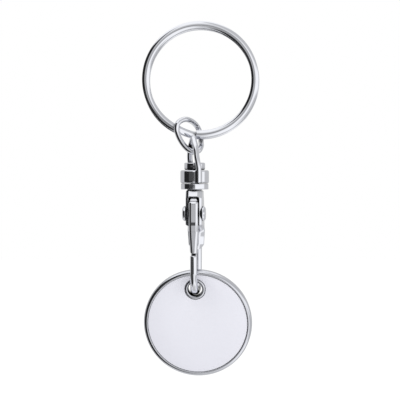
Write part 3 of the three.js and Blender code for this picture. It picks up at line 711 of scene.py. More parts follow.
def rounded_meet(a, b, r):
    """What two forms share, its edge rounded."""
    u, v = np.maximum(a + r, 0), np.maximum(b + r, 0)
    return np.minimum(np.maximum(a, b), -r) + np.hypot(u, v)


def rounded_join(a, b, r):
    """Two forms together, with a fillet where they meet."""
    u, v = np.maximum(r - a, 0), np.maximum(r - b, 0)
    return np.maximum(np.minimum(a, b), r) - np.hypot(u, v)


def rounded_box(a, b, r):
    """Distance to a rounded corner from the distances to its two sides."""
    u, v = a + r, b + r
    return np.hypot(np.maximum(u, 0), np.maximum(v, 0)) + np.minimum(np.maximum(u, v), 0) - r


def upright_disc(x, y, z, radius, low, high, r):
    """Distance to a round disc about Z with rounded edges."""
    return rounded_box(np.hypot(x, y) - radius, np.abs(z - (low + high) / 2) - (high - low) / 2, r)


def line_distance(u, v, line):
    """Distance to an open line of pairs."""
    u, v = np.broadcast_arrays(u, v)
    nearest = np.full(u.shape, np.inf)
    for (au, av), (bu, bv) in zip(line[:-1], line[1:]):
        du, dv = bu - au, bv - av
        pu, pv = u - au, v - av
        t = np.clip((pu * du + pv * dv) / (du * du + dv * dv + 1e-12), 0, 1)
        nearest = np.minimum(nearest, (pu - du * t) ** 2 + (pv - dv * t) ** 2)
    return np.sqrt(nearest)


def outline_distance(u, v, outline):
    """Distance to a closed outline of pairs, negative inside."""
    line = np.vstack([outline, outline[:1]]).astype(float)
    u, v = np.broadcast_arrays(u, v)
    inside = np.zeros(u.shape, bool)
    for (au, av), (bu, bv) in zip(line[:-1], line[1:]):
        crosses = (av <= v) != (bv <= v)
        with np.errstate(divide="ignore", invalid="ignore"):
            at = au + (bu - au) * (v - av) / (bv - av)
        inside ^= crosses & (u < at)
    return np.where(inside, -1, 1) * line_distance(u, v, line)


def netted(form, low, high, step, shift):
    """Points near the surface where form(x, y, z) is zero, one to each cell, and faces."""
    axes = [np.arange(a - (2 + shift) * step, b + 3 * step, step) for a, b in zip(low, high)]
    x, y, z = axes[0][:, None, None], axes[1][None, :, None], axes[2][None, None, :]
    value = np.broadcast_to(form(x, y, z), [len(a) for a in axes]).copy()
    inside = value < 0
    sides = [inside[0], inside[-1], inside[:, 0], inside[:, -1], inside[:, :, 0], inside[:, :, -1]]
    if any(side.any() for side in sides):
        raise RuntimeError("a casting reaches past its box")
    cells = np.zeros([n - 1 for n in value.shape], np.int8)
    corners = [(i, j, k) for i in (0, 1) for j in (0, 1) for k in (0, 1)]

    def part(array, i, j, k):
        n = array.shape
        return array[i:n[0] - 1 + i, j:n[1] - 1 + j, k:n[2] - 1 + k]

    for c in corners:
        cells += part(inside, *c)
    active = np.argwhere((cells > 0) & (cells < 8))
    number = np.full(cells.shape, -1)
    number[tuple(active.T)] = np.arange(len(active))
    total, hits = np.zeros((len(active), 3)), np.zeros(len(active))
    for a in corners:
        for axis in range(3):
            if a[axis]:
                continue
            b = list(a)
            b[axis] = 1
            va = value[tuple((active + a).T)]
            vb = value[tuple((active + b).T)]
            cut = (va < 0) != (vb < 0)
            t = np.where(cut, va / np.where(cut, va - vb, 1), 0)
            place = active + np.array(a, float)
            place[:, axis] += t
            total += place * cut[:, None]
            hits += cut
    points = total / hits[:, None] * step + np.array([a[0] for a in axes])
    faces = []
    for axis in range(3):
        p, q = (axis + 1) % 3, (axis + 2) % 3
        ahead = np.roll(inside, -1, axis)
        changed = inside != ahead
        edge = np.argwhere(changed)
        keep = (edge[:, axis] < cells.shape[axis]) & (edge[:, p] > 0) & (edge[:, q] > 0)
        keep &= (edge[:, p] < cells.shape[p]) & (edge[:, q] < cells.shape[q])
        edge = edge[keep]
        quad = []
        for dp, dq in ((-1, -1), (0, -1), (0, 0), (-1, 0)):
            cell = edge.copy()
            cell[:, p] += dp
            cell[:, q] += dq
            quad.append(number[tuple(cell.T)])
        quad = np.stack(quad, -1)
        out = inside[tuple(edge.T)]
        faces.append(np.where(out[:, None], quad, quad[:, ::-1]))
    return points, np.vstack(faces)


def casting(form, low, high):
    """Points, faces and normals of the surface where form(x, y, z) is zero, inside a box."""
    for shift in GRID_SHIFTS:
        points, faces = netted(form, low, high, GRID, shift)
        if not open_edges(faces):
            break

    def slope(at):
        h = GRID / 20
        cols = []
        for axis in range(3):
            shift = np.zeros(3)
            shift[axis] = h
            cols.append((form(*(at + shift).T) - form(*(at - shift).T)) / (2 * h))
        return np.stack(cols, -1)

    start, end = faces.ravel(), np.roll(faces, -1, 1).ravel()
    neighbours = np.bincount(start, minlength=len(points))[:, None]
    for even in (True, True, True, False):
        for _ in range(2):
            grad = slope(points)
            length = np.maximum(np.sum(grad * grad, 1), 0.05)
            move = -(form(*points.T) / length)[:, None] * grad
            far = np.linalg.norm(move, axis=1)
            move *= np.minimum(1, 0.7 * GRID / np.maximum(far, 1e-9))[:, None]
            points = points + move
        normals = slope(points)
        normals /= np.maximum(np.linalg.norm(normals, axis=1), 1e-9)[:, None]
        if even:
            middle = [np.bincount(start, points[end, k], len(points)) for k in range(3)]
            move = 0.4 * (np.stack(middle, -1) / neighbours - points)
            points = points + move - normals * np.sum(move * normals, 1)[:, None]
    return points, faces.tolist(), normals


# Shader nodes


class Value:
    """A number leaving a node. Sums on it add Math nodes."""

    def __init__(self, tree, socket):
        self.tree = tree
        self.socket = socket

    def maths(self, operation, first, second):
        settings = {"operation": operation}
        return self.tree.node("ShaderNodeMath", settings, {0: first, 1: second})

    def __add__(self, other):
        return self.maths("ADD", self, other)

    def __radd__(self, other):
        return self.maths("ADD", other, self)

    def __sub__(self, other):
        return self.maths("SUBTRACT", self, other)

    def __rsub__(self, other):
        return self.maths("SUBTRACT", other, self)

    def __mul__(self, other):
        return self.maths("MULTIPLY", self, other)

    def __rmul__(self, other):
        return self.maths("MULTIPLY", other, self)

    def larger(self, other):
        return self.maths("MAXIMUM", self, other)


class Tree:
    """A node tree that is filled from nothing."""

    def __init__(self, owner):
        owner.use_nodes = True
        self.tree = owner.node_tree
        self.tree.nodes.clear()

    def node(self, kind, settings=None, sockets=None, output=0):
        """Adds a node: its settings first, then each socket's value or link."""
        made = self.tree.nodes.new(kind)
        for name, value in (settings or {}).items():
            if name == "stops":
                self.set_stops(made.color_ramp, value)
            else:
                setattr(made, name, value)
        for key, value in (sockets or {}).items():
            if isinstance(value, Value):
                self.tree.links.new(value.socket, made.inputs[key])
            else:
                made.inputs[key].default_value = value
        return Value(self, made.outputs[output]) if made.outputs else made

    def set_stops(self, ramp, stops):
        while len(ramp.elements) < len(stops):
            ramp.elements.new(1)
        for element, (position, shade) in zip(ramp.elements, stops):
            element.position = position
            element.color = (shade, shade, shade, 1)

    def noise(self, scale, detail, stretch=(1, 1, 1)):
        """Fine noise fixed to the piece, its scale in waves per metre."""
        place = self.node("ShaderNodeTexCoord", output="Object")
        drawn = self.node("ShaderNodeMapping", None, {"Vector": place, "Scale": stretch})
        return self.node("ShaderNodeTexNoise", None, {
            "Vector": drawn, "Scale": scale, "Detail": detail, "Roughness": 0.55,
        })

    def steps(self, value, *stops):
        """A value sent through a ramp of greys."""
        return self.node("ShaderNodeValToRGB", {"stops": stops}, {"Fac": value})

    def blend(self, factor, first, second):
        """A colour between two colours."""
        settings = {"data_type": "RGBA"}
        return self.node("ShaderNodeMix", settings, {0: factor, 6: first, 7: second}, 2)

    def bump(self, height, depth):
        """A normal from a height, which the depth turns into metres."""
        sockets = {"Strength": 1.0, "Distance": depth, "Height": height}
        return self.node("ShaderNodeBump", None, sockets)


def opaque(colour, share=1.0):
    """A colour with its alpha, made darker or lighter by a share."""
    return (colour[0] * share, colour[1] * share, colour[2] * share, 1)


def plated(name, colour, roughness, ripple, grain):
    """Metal with uneven polish, ripples and hairline scratches, and painted shade darkening its
    recesses.
    """
    if name in bpy.data.materials:
        return bpy.data.materials[name]
    material = bpy.data.materials.new(name)
    tree = Tree(material)
    cloud = tree.noise(350, 2)
    hair = tree.noise(2600, 3, (1, 1, 0.08))
    tone = tree.blend(cloud, opaque(colour, 0.95), opaque(colour, 1.04))
    # Painted shade: the colour darkens where another surface is near, in recesses and gaps between
    # parts
    reach = {"Distance": RECESS_SHADE_REACH}
    openness = tree.node("ShaderNodeAmbientOcclusion", {"samples": 8}, reach, "AO")
    clear = tree.steps(openness, (0.5, 0.0), (0.9, 1.0))
    tone = tree.blend(clear, opaque(colour, RECESS_SHADE_SHARE), tone)
    polish = roughness * 0.6 + cloud * (roughness * 0.5) + hair * (roughness * 0.35)
    height = tree.noise(420, 1) * ripple + hair * grain
    shader = tree.node("ShaderNodeBsdfPrincipled", None, {
        "Base Color": tone,
        "Metallic": 1.0,
        "Roughness": polish,
        "Normal": tree.bump(height, 1.0),
    })
    tree.node("ShaderNodeOutputMaterial", None, {"Surface": shader})
    return material


def nickel_plate(scene):
    finish = scene.keyring_finishes
    return plated("nickel_on_castings", finish.nickel, finish.polish, 0.000006, 0.0000004)


def drawn_nickel(scene):
    finish = scene.keyring_finishes
    return plated("nickel_on_wire", finish.nickel, finish.polish * 0.8, 0.000002, 0.0000003)


def coin_plate(scene):
    finish = scene.keyring_finishes
    return plated("nickel_on_coin", finish.coin_nickel, finish.polish * 1.6, 0.000002, 0.0000008)


def spring_steel(scene):
    finish = scene.keyring_finishes
    return plated("drawn_spring_steel", finish.spring_steel, 0.3, 0.000001, 0.000001)


def white_lacquer(scene):
    """Glossy white disc with a faint cloud in its colour and a slight orange-peel surface."""
    name = "lacquer_on_discs"
    if name in bpy.data.materials:
        return bpy.data.materials[name]
    colour = scene.keyring_finishes.lacquer
    roughness = scene.keyring_finishes.lacquer_gloss
    material = bpy.data.materials.new(name)
    tree = Tree(material)
    cloud = tree.noise(120, 2)
    peel = tree.noise(1500, 2)
    shader = tree.node("ShaderNodeBsdfPrincipled", None, {
        "Base Color": tree.blend(cloud, opaque(colour, 0.985), opaque(colour, 1.015)),
        "Roughness": roughness * 0.85 + peel * (roughness * 0.3),
        "Specular IOR Level": 0.4,
        "Coat Weight": 0.3,
        "Coat Roughness": 0.08,
        "Normal": tree.bump(peel, 0.0000012),
    })
    tree.node("ShaderNodeOutputMaterial", None, {"Surface": shader})
    return material


# Pieces


class KEYRING_OT_key_ring(Operator):
    """Winds the split ring from flat wire in two turns with one crossover"""

    bl_idname = "keyring.key_ring"
    bl_label = "Key ring"

    def execute(self, context):
        layout = Layout(context.scene)
        ring = layout.ring
        group = ring.group
        total = 4 * math.pi - WIRE_GAP
        count = round(2 * RING_ROWS * total / (4 * math.pi))
        turned = np.linspace(0, total, count)
        crossed = eased((turned - total / 2) / WIRE_GAP + 0.5)
        angle = group.crossover + WIRE_GAP / 2 + turned
        radial = np.stack([np.cos(angle), np.zeros(count), np.sin(angle)], -1)
        centres = radial * layout.ring_radius + np.stack([
            ring.rear_shift_x * crossed,
            ring.turn_pitch * (crossed - 0.5),
            layout.ring_centre_z + ring.front_shift_z * (1 - crossed),
        ], -1)
        deep = np.repeat([[0.0, 1.0, 0.0]], count, 0)
        half_width, half_depth = ring.wire_width / 2, ring.wire_thickness / 2
        section = crowned_section(
            half_width, half_depth, group.crown, group.fullness, ring.wire_corner)
        points, faces = sweep(centres, radial, deep, section, False, ring.wire_end)
        finish = drawn_nickel(context.scene)
        solid("split_ring_wire", points, faces, finish, "root", "key_ring")
        return {"FINISHED"}


class KEYRING_OT_link(Operator):
    """Bends the closed wire link that joins the key ring and the clasp"""

    bl_idname = "keyring.link"
    bl_label = "Wire link"

    def execute(self, context):
        layout = Layout(context.scene)
        link, eye = layout.link, layout.eye
        rise = eye.arch_height - eye.wire_width / 2
        share = (layout.bar_z - layout.barrel_top) / rise
        leg = layout.leg_radius * np.interp(share, *np.array(ARCH_WIDTHS).T)
        rear_leg = layout.swivel_y + leg * math.cos(eye.group.turned)
        bar_depth = rear_leg - eye.wire_depth / 2 - link.eye_clearance - link.wire_diameter / 2

        def at(x, z, depth):
            across = layout.link_x + x * layout.link_half_width
            return [across, depth, layout.link_z + z * layout.link_half_height]

        knots = [at(x, z, y * layout.link_depth) for x, z, y in LINK_PATH]
        knots += [at(x, z, bar_depth) for x, z in LINK_BAR]
        knots += [at(x, z, y * layout.link_depth) for x, z, y in LINK_REAR]
        line = smooth_path(knots, True, LINK_ROWS)
        seam_place = line[LINK_SEAM_KNOT * LINK_ROWS + LINK_ROWS // 2]
        centres = evened(line, link.step, link.easing)
        across, deep = carried_frames(centres)
        seam = np.argmin(np.linalg.norm(centres - seam_place, axis=1))
        length = link.step * (np.arange(len(centres)) - seam)
        groove = np.exp(-((length / (link.seam_width / 2)) ** 2))
        radius = link.wire_diameter / 2 * (1 - LINK_SEAM_DEPTH * groove)
        section = rounded_section(1, 1, 2, LINK_SIDES)
        points, faces = sweep(
            centres, across * radius[:, None], deep * radius[:, None], section, True)
        finish = drawn_nickel(context.scene)
        solid("wire_link", points, faces, finish, "link", "connecting_link")
        return {"FINISHED"}


class KEYRING_OT_eye(Operator):
    """Casts the arch and the barrel under it in one piece, with the pin's bore"""

    bl_idname = "keyring.eye"
    bl_label = "Swivel eye"

    def execute(self, context):
        layout = Layout(context.scene)
        eye, pin = layout.eye, layout.pin
        rise = eye.arch_height - eye.wire_width / 2
        half = [[-w * layout.leg_radius, s * rise] for s, w in ARCH_WIDTHS]
        front = [[-layout.leg_radius, -eye.barrel_height]] + half
        rear = [[-y, z] for y, z in front][::-1]
        line = smooth_path(front + [[0, rise]] + rear, False, ARCH_ROWS)
        bore = pin.shank_diameter / 2 + pin.running_gap

        def form(x, y, z):
            lean = -eye.lean * eased(2 * z / rise)
            bow = np.hypot((x - lean) / eye.wire_width, line_distance(y, z, line) / eye.wire_depth)
            bow = (bow - 0.5) * (eye.wire_width + eye.wire_depth) / 2
            bow = np.maximum(bow, -eye.barrel_height + ARCH_FOOT - z)
            barrel = upright_disc(
                x, y, z, eye.barrel_diameter / 2, -eye.barrel_height, 0, eye.barrel_round)
            drilled = np.maximum(np.hypot(x, y) - bore, z - eye.barrel_round)
            whole = rounded_join(bow, barrel, ARCH_FILLET)
            return rounded_meet(whole, -drilled, BARREL_BORE_EDGE)

        reach = layout.leg_radius + eye.wire_depth
        radius = eye.barrel_diameter / 2
        low = [-radius - eye.lean, -reach, -eye.barrel_height]
        high = [radius, reach, eye.arch_height]
        points, faces, normals = casting(form, low, high)
        normals = spin_z(normals, eye.group.turned)
        solid("arch_and_barrel", layout.eye_place(points), faces, nickel_plate(context.scene),
              "eye", "swivel_eye", normals)
        return {"FINISHED"}


class KEYRING_OT_pin(Operator):
    """Turns the swivel pin, whose head is the collar inside the arch"""

    bl_idname = "keyring.pin"
    bl_label = "Swivel pin"

    def execute(self, context):
        layout = Layout(context.scene)
        eye, pin = layout.eye, layout.pin
        head, shank, r = pin.head_diameter / 2, pin.shank_diameter / 2, pin.head_round
        low, top = pin.play, pin.play + pin.head_height
        foot = -eye.barrel_height - pin.play - pin.grip
        out, up = SHANK_FILLET
        profile = [(0, foot), (shank - SHANK_CHAMFER, foot)]
        profile += [(shank, foot + SHANK_CHAMFER), (shank, low - up), (shank + out, low)]
        profile += arc((head - r, low + r), r, -90, 0, 8)
        profile += arc((head - r, top - r), r, 0, 90, 8)
        profile += [(head * 0.55, top), (0, top)]
        points, faces = turned_solid(profile, PIN_SIDES)
        points = points + [0, 0, layout.barrel_top - layout.hook_z]
        solid("collar_and_pin", layout.hook_place(points), faces, nickel_plate(context.scene),
              "hook", "swivel_pin")
        return {"FINISHED"}


def curve(start, pull, end, count=28):
    """Points of a bend from start to end, pulled towards a corner, without its first point."""
    t = (np.arange(1, count + 1) / count)[:, None]
    start, pull, end = np.array(start), np.array(pull), np.array(end)
    return ((1 - t) ** 2 * start + 2 * t * (1 - t) * pull + t**2 * end).tolist()


def body_outline(layout):
    """The hook's body from the side, as (depth, height)."""
    hook, lever = layout.hook, layout.lever
    inner = layout.spine_y - hook.wire_depth / 2
    outer = layout.spine_y + hook.wire_depth / 2
    throat = -hook.cheek_drop - hook.spine_fairing / 2
    front, drop, r = hook.cheek_front, hook.cheek_drop, hook.cheek_round
    waist = [(layout.spine_y + hook.neck_back) / 2, -hook.slot_drop]
    shape = [[-hook.neck_front, hook.flange_round], [-hook.neck_front, 0]]
    shape += [[-front, -hook.slot_drop - hook.slot_corner / 3]]
    shape += [[-front, r - drop]]
    shape += curve(shape[-1], [-front, -drop], [r - front, -drop])
    shape += [[hook.cheek_throat, -drop]]
    shape += curve(shape[-1], [inner, -drop], [inner, throat])
    shape += [[inner, layout.fairing_end], [outer, layout.fairing_end], [outer, throat]]
    shape += curve(shape[-1], [outer, -lever.pivot_drop], waist)
    nape = [hook.neck_back, hook.flange_round]
    shape += curve(waist, [hook.neck_back, -hook.slot_drop / 2], nape)
    return shape


def bow_distance(layout, y, z):
    """Distance to the bow's middle line, down the spine, round the bend and up the arm."""
    hook = layout.hook
    spine = np.hypot(y - layout.spine_y, np.maximum(z + hook.cheek_drop, 0))
    arm = np.hypot(y - layout.arm_y, np.maximum(z + hook.tip_drop + hook.wire_depth / 3, 0))
    outside = hook.bend_radius + hook.wire_depth / 2
    down = (z - layout.bend_z) * outside / (outside + hook.bend_drop)
    bend = np.abs(np.hypot(y - hook.bend_shift, down) - hook.bend_radius)
    return np.where(z > layout.bend_z, np.minimum(spine, arm), bend)


class KEYRING_OT_hook(Operator):
    """Casts the hook: flange, two cheeks with a slot, spine, bend, arm and tip"""

    bl_idname = "keyring.hook"
    bl_label = "Hook body"

    def execute(self, context):
        layout = Layout(context.scene)
        hook, pin, lever, spring = layout.hook, layout.pin, layout.lever, layout.spring
        side = body_outline(layout)
        half = hook.body_width / 2
        fairing = hook.fairing_width / 2
        flare_height, flare_width = CHEEK_FLARE
        heights = [layout.fairing_end, layout.fairing_end + hook.fairing_step,
                   -hook.cheek_drop - flare_height, -hook.cheek_drop]
        halves = [hook.spine_width / 2, fairing, half + flare_width, half]
        pin_hole = pin.shank_diameter / 2 + pin.seat_gap
        pin_floor = hook.flange_height - pin.grip - pin.seat_gap
        rivet_hole = lever.shank_diameter / 2 + lever.seat_gap
        pocket = spring.diameter / 2 + spring.pocket_gap
        lean_side, lean_front = math.sin(hook.group.bevel_slope), math.cos(hook.group.bevel_slope)

        def form(x, y, z):
            ax = np.abs(x)
            across = ax - np.interp(z, heights, halves)
            profile = outline_distance(y, z, side)
            body = rounded_meet(profile, across, hook.body_round)
            bevel = (across + hook.body_bevel) * lean_side + profile * lean_front
            body = rounded_meet(body, bevel, hook.body_round)
            slot = rounded_box(ax - hook.slot_width / 2, z + hook.slot_drop, hook.slot_corner)
            slot = np.maximum(slot, y - hook.slot_wall)
            body = rounded_meet(body, -slot, SLOT_EDGE)
            back = eased((y - layout.arm_y) / (layout.spine_y - layout.arm_y))
            wide = (hook.wire_width + (hook.spine_width - hook.wire_width) * back) / 2
            deep = hook.wire_depth / 2
            arm = rounded_box(ax - wide, bow_distance(layout, y, z) - deep, BOW_ROUND)
            tip = np.where(y < hook.bend_shift, z + hook.tip_drop, -1.0)
            arm = rounded_meet(arm, tip, TIP_EDGE)
            whole = rounded_join(body, arm, BOW_FILLET)
            flange = upright_disc(
                x, y, z, hook.flange_diameter / 2, 0, hook.flange_height, hook.flange_round)
            whole = rounded_join(whole, flange, FLANGE_FILLET)
            shaft = np.maximum(np.hypot(x, y) - pin_hole, pin_floor - z)
            rivet = np.hypot(y + lever.pivot_front, z + lever.pivot_drop) - rivet_hole
            well = np.hypot(x, z - layout.spring_z) - pocket
            well = np.maximum(well, y - hook.slot_wall - spring.pocket_depth)
            well = np.maximum(well, -y)
            for cut in (shaft, rivet, well):
                whole = rounded_meet(whole, -cut, HOLE_EDGE)
            return whole

        depth = layout.spine_y + hook.wire_depth / 2
        front = min(-hook.cheek_front, layout.arm_y - hook.wire_depth / 2)
        low = [-hook.flange_diameter / 2, front, -hook.length - hook.bend_drop]
        high = [hook.flange_diameter / 2, depth, hook.flange_height]
        points, faces, normals = casting(form, low, high)
        normals = spin_z(normals, hook.group.turned)
        solid("hook_casting", layout.hook_place(points), faces, nickel_plate(context.scene),
              "hook", "hook_body", normals)
        return {"FINISHED"}


def lever_outline(layout):
    """The lever from the side, drawn shut, as (depth, height)."""
    hook, lever, spring = layout.hook, layout.lever, layout.spring
    outer = layout.arm_y - hook.wire_depth / 2
    inner = outer + lever.thickness
    pivot_y, pivot_z = -lever.pivot_front, -lever.pivot_drop
    top = lever.pivot_drop - hook.slot_drop - lever.top_gap
    lap = hook.tip_drop - lever.pivot_drop - lever.lap_gap
    boss = lever.boss_diameter / 2

    def on_arc(radius, y):
        return pivot_z + math.copysign(math.sqrt(radius**2 - (y - pivot_y) ** 2), radius)

    lap_outer = outer + hook.wire_depth + lever.lap_gap
    lap_inner = lap_outer + lever.lap_thickness
    lap_end = -hook.tip_drop - lever.lap
    bulge = outer - lever.thumb_bulge
    seat = layout.spring_seat
    shape = [[outer, on_arc(-lap, outer)]]
    shape += [[y, on_arc(-lap, y)] for y in np.linspace(outer, lap_outer, 5)[1:]]
    shape += [[lap_outer, lap_end], [lap_inner, lap_end], [lap_inner, lap_end + lever.lap_blend]]
    shape += [[inner, lap_end + 2 * lever.lap_blend]]
    shape += [[inner, pivot_z - spring.drop - spring.diameter]]
    shape += [[seat, pivot_z - spring.drop - spring.diameter / 2], [seat, pivot_z - boss]]
    shape += arc((pivot_y, pivot_z), boss, -45, 60, 12)
    for y in np.linspace(pivot_y + boss / 2, lever.top_corner - hook.cheek_front, 8):
        shape.append([y, on_arc(top, y)])
    shape.append([-hook.cheek_front, on_arc(top, -hook.cheek_front) - lever.top_corner])
    brow = shape[-1][1]
    shape += curve(shape[-1], [bulge, brow], [bulge, brow - 2 * lever.top_corner])
    shape += curve([bulge, pivot_z - boss], [bulge, pivot_z - 2 * boss], [outer, -lever.neck_drop])
    return shape


class KEYRING_OT_lever(Operator):
    """Casts the lever that closes the hook's mouth"""

    bl_idname = "keyring.lever"
    bl_label = "Trigger lever"

    def execute(self, context):
        layout = Layout(context.scene)
        hook, lever = layout.hook, layout.lever
        side = lever_outline(layout)
        bore = lever.shank_diameter / 2 + lever.running_gap
        heights = [-hook.tip_drop, -lever.neck_drop]
        halves = [lever.end_width / 2, lever.width / 2]

        def form(x, y, z):
            half = np.interp(z, heights, halves)
            blade = rounded_meet(outline_distance(y, z, side), np.abs(x) - half, lever.edge)
            hole = np.hypot(y + lever.pivot_front, z + lever.pivot_drop) - bore
            return rounded_meet(blade, -hole, LEVER_BORE_EDGE)

        outer = layout.arm_y - hook.wire_depth / 2 - lever.thumb_bulge
        low = [-lever.width / 2, outer, -hook.tip_drop - lever.lap]
        high = [lever.width / 2, layout.spring_seat + 1, -hook.slot_drop]
        points, faces, normals = casting(form, low, high)
        normals = spin_z(normals, hook.group.turned)
        solid("gate_lever", layout.hook_place(points), faces, nickel_plate(context.scene),
              "lever", "trigger_lever", normals)
        return {"FINISHED"}


class KEYRING_OT_rivet(Operator):
    """Turns the pivot rivet with a domed head on each cheek"""

    bl_idname = "keyring.rivet"
    bl_label = "Pivot rivet"

    def execute(self, context):
        layout = Layout(context.scene)
        hook, lever = layout.hook, layout.lever
        start = hook.body_width / 2 + lever.seat_gap
        head, shank = lever.head_diameter / 2, lever.shank_diameter / 2
        top, edge = start + lever.head_height, lever.head_edge
        right = [(shank, start), (head - RIVET_LIP, start), (head, start + RIVET_LIP)]
        right += arc((head - edge, top - edge), edge, 0, 84, 12)
        right += [(head * 0.3, top), (0, top)]
        profile = [(r, -h) for r, h in right][::-1] + right
        points, faces = turned_solid(profile, RIVET_SIDES)
        points = points[:, [2, 1, 0]] * [1, -1, 1]
        points = points + [0, -lever.pivot_front, -lever.pivot_drop]
        solid("domed_rivet", layout.hook_place(points), faces, nickel_plate(context.scene),
              "hook", "pivot_rivet")
        return {"FINISHED"}


class KEYRING_OT_spring(Operator):
    """Winds the small spring that shuts the lever"""

    bl_idname = "keyring.spring"
    bl_label = "Lever spring"

    def execute(self, context):
        layout = Layout(context.scene)
        hook, spring = layout.hook, layout.spring
        wire = spring.wire_diameter / 2
        start = layout.spring_seat + spring.seat_gap + wire
        stop = hook.slot_wall + spring.pocket_depth - spring.seat_gap - wire
        turns = spring.group.turns
        count = round(COIL_ROWS * turns) + 1
        angle = np.linspace(0, 2 * math.pi * turns, count)
        radial = np.stack([np.sin(angle), np.zeros(count), np.cos(angle)], -1)
        centres = radial * (spring.diameter / 2 - wire)
        centres[:, 1] = np.linspace(start, stop, count)
        centres[:, 2] += layout.spring_z
        deep = np.repeat([[0.0, 1.0, 0.0]], count, 0)
        section = rounded_section(wire, wire, 2, COIL_SIDES)
        points, faces = sweep(centres, radial, deep, section, False, COIL_END)
        coil = solid("coil_spring", layout.hook_place(points), faces, spring_steel(context.scene),
                     "hook", "lever_spring")
        ends = np.array([[0, y, layout.spring_z] for y in (start - wire, stop + wire)])
        front, back = layout.hook_place(ends) * MM
        tuple(back - front)
        spring.group.pressed
        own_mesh(coil)
        return {"FINISHED"}


def without_repeats(rows):
    """A closed profile without rows that repeat the one before."""
    rows = np.asarray(rows, float)
    return rows[np.linalg.norm(rows - np.roll(rows, 1, 0), axis=1) > 1e-6]


def lofted(profile, hole_to_centre, count):
    """A closed skin over circles (radius, height, share), about the hole at 0, the coin at 1."""
    angle = 2 * math.pi * np.arange(count) / count
    profile = np.asarray(profile, float)
    radius, height, share = (profile[:, k, None] for k in range(3))
    ring = np.stack([
        radius * np.cos(angle),
        np.repeat(height, count, 1),
        radius * np.sin(angle) - share * hole_to_centre,
    ], -1)
    points = ring.reshape(-1, 3)
    return points, outward(points, grid_faces(len(profile), count, True)).tolist()


class KEYRING_OT_coin(Operator):
    """Stamps the coin and lays a white disc in each side"""

    bl_idname = "keyring.coin"
    bl_label = "Coin and its faces"

    def execute(self, context):
        layout = Layout(context.scene)
        coin = layout.coin
        radius, half = coin.diameter / 2, coin.thickness / 2
        inner = radius - coin.rim_width
        hole, collar = coin.hole_diameter / 2, coin.collar_diameter / 2
        offset = inner - coin.collar_rim_gap - collar
        web = half - coin.recess

        def side(sign):
            edge = coin.edge_round if sign < 0 else coin.back_round
            lip, step, rim = COLLAR_ROUND, WEB_FILLET, RIM_ROUND
            about_hole = [(hole, half - lip)]
            about_hole += arc((hole + lip, half - lip), lip, 180, 90, 7)
            about_hole += arc((collar - lip, half - lip), lip, 90, 0, 7)
            about_hole += [(collar, web + step), (collar + step, web)]
            about_coin = [(inner - step, web), (inner, web + step)]
            about_coin += arc((inner + rim, half - rim), rim, 180, 90, 6)
            about_coin += arc((radius - edge, half - edge), edge, 90, 0, 14)
            rows = [(r, h * sign, 0) for r, h in about_hole]
            return rows + [(r, h * sign, 1) for r, h in about_coin]

        profile = without_repeats(side(1) + side(-1)[::-1])
        points, faces = lofted(profile, offset, COIN_SIDES)
        solid("coin_blank", layout.coin_place(points), faces, coin_plate(context.scene),
              "coin", "coin_body")
        near = web + coin.glue_gap
        far = near + coin.face_thickness
        rim, opening, r = inner - coin.edge_gap, collar + coin.edge_gap, DISC_ROUND
        rows = [(opening + r, near, 0), (opening, near + r, 0)]
        rows += [(a, h, 0) for a, h in arc((opening + r, far - r), r, 180, 90, 4)]
        rows += [(a, h, 1) for a, h in arc((rim - r, far - r), r, 90, 0, 4)]
        rows += [(rim, near + r, 1), (rim - r, near, 1)]
        for name, node, sign in (
            ("front_disc", "coin_face_front", -1),
            ("back_disc", "coin_face_back", 1),
        ):
            points, faces = lofted([(a, h * sign, s) for a, h, s in rows], offset, DISC_SIDES)
            solid(name, layout.coin_place(points), faces, white_lacquer(context.scene),
                  "coin", node)
        return {"FINISHED"}


# Studio


def seen_in_metal(name, points, faces):
    """A mesh of the stage that only reflections see, and its node tree to fill."""
    mesh = bpy.data.meshes.new(name)
    mesh.from_pydata(points, [], faces)
    material = bpy.data.materials.new(name)
    material.cycles.emission_sampling = "NONE"
    mesh.materials.append(material)
    thing = bpy.data.objects.new(name, mesh)
    bpy.context.scene.collection.objects.link(thing)
    thing.visible_camera = False
    thing.visible_diffuse = False
    thing.visible_shadow = False
    return mesh, Tree(material)


def tent(distance):
    """A sphere round the keyring, seen only in the metal, with the studio's darker patches."""
    azimuth = np.linspace(-180, 180, TENT_COLUMNS + 1)[:-1][None, :]
    elevation = np.linspace(-89, 89, TENT_ROWS)[:, None]
    level = np.full((TENT_ROWS, TENT_COLUMNS), TENT_WHITE)
    for across, up, soft, shade in TENT_PATCHES.values():
        sides = eased((azimuth - across[0]) / soft[0]) * eased((across[1] - azimuth) / soft[1])
        ends = eased((elevation - up[0]) / soft[2]) * eased((up[1] - elevation) / soft[3])
        level = level + (shade - level) * sides * ends
    a, e = np.radians(azimuth), np.radians(elevation)
    points = np.stack(np.broadcast_arrays(
        np.sin(a) * np.cos(e), -np.cos(a) * np.cos(e), np.sin(e)), -1).reshape(-1, 3)
    faces = grid_faces(TENT_ROWS, TENT_COLUMNS, False).tolist()
    mesh, tree = seen_in_metal("light_tent", (points * distance + TENT_CENTRE).tolist(), faces)
    share = (level / TENT_WHITE).reshape(-1).astype(np.float32)
    mesh.attributes.new("share", "FLOAT", "POINT").data.foreach_set("value", share)
    lit = tree.node("ShaderNodeAttribute", {"attribute_name": "share"}, None, "Fac")
    dark = tree.node("ShaderNodeEmission", None, {"Strength": 0.0})
    white = tree.node("ShaderNodeEmission", None, {"Color": LIGHT, "Strength": TENT_WHITE})
    mixed = tree.node("ShaderNodeMixShader", None, {0: lit, 1: dark, 2: white})
    tree.node("ShaderNodeOutputMaterial", None, {"Surface": mixed})


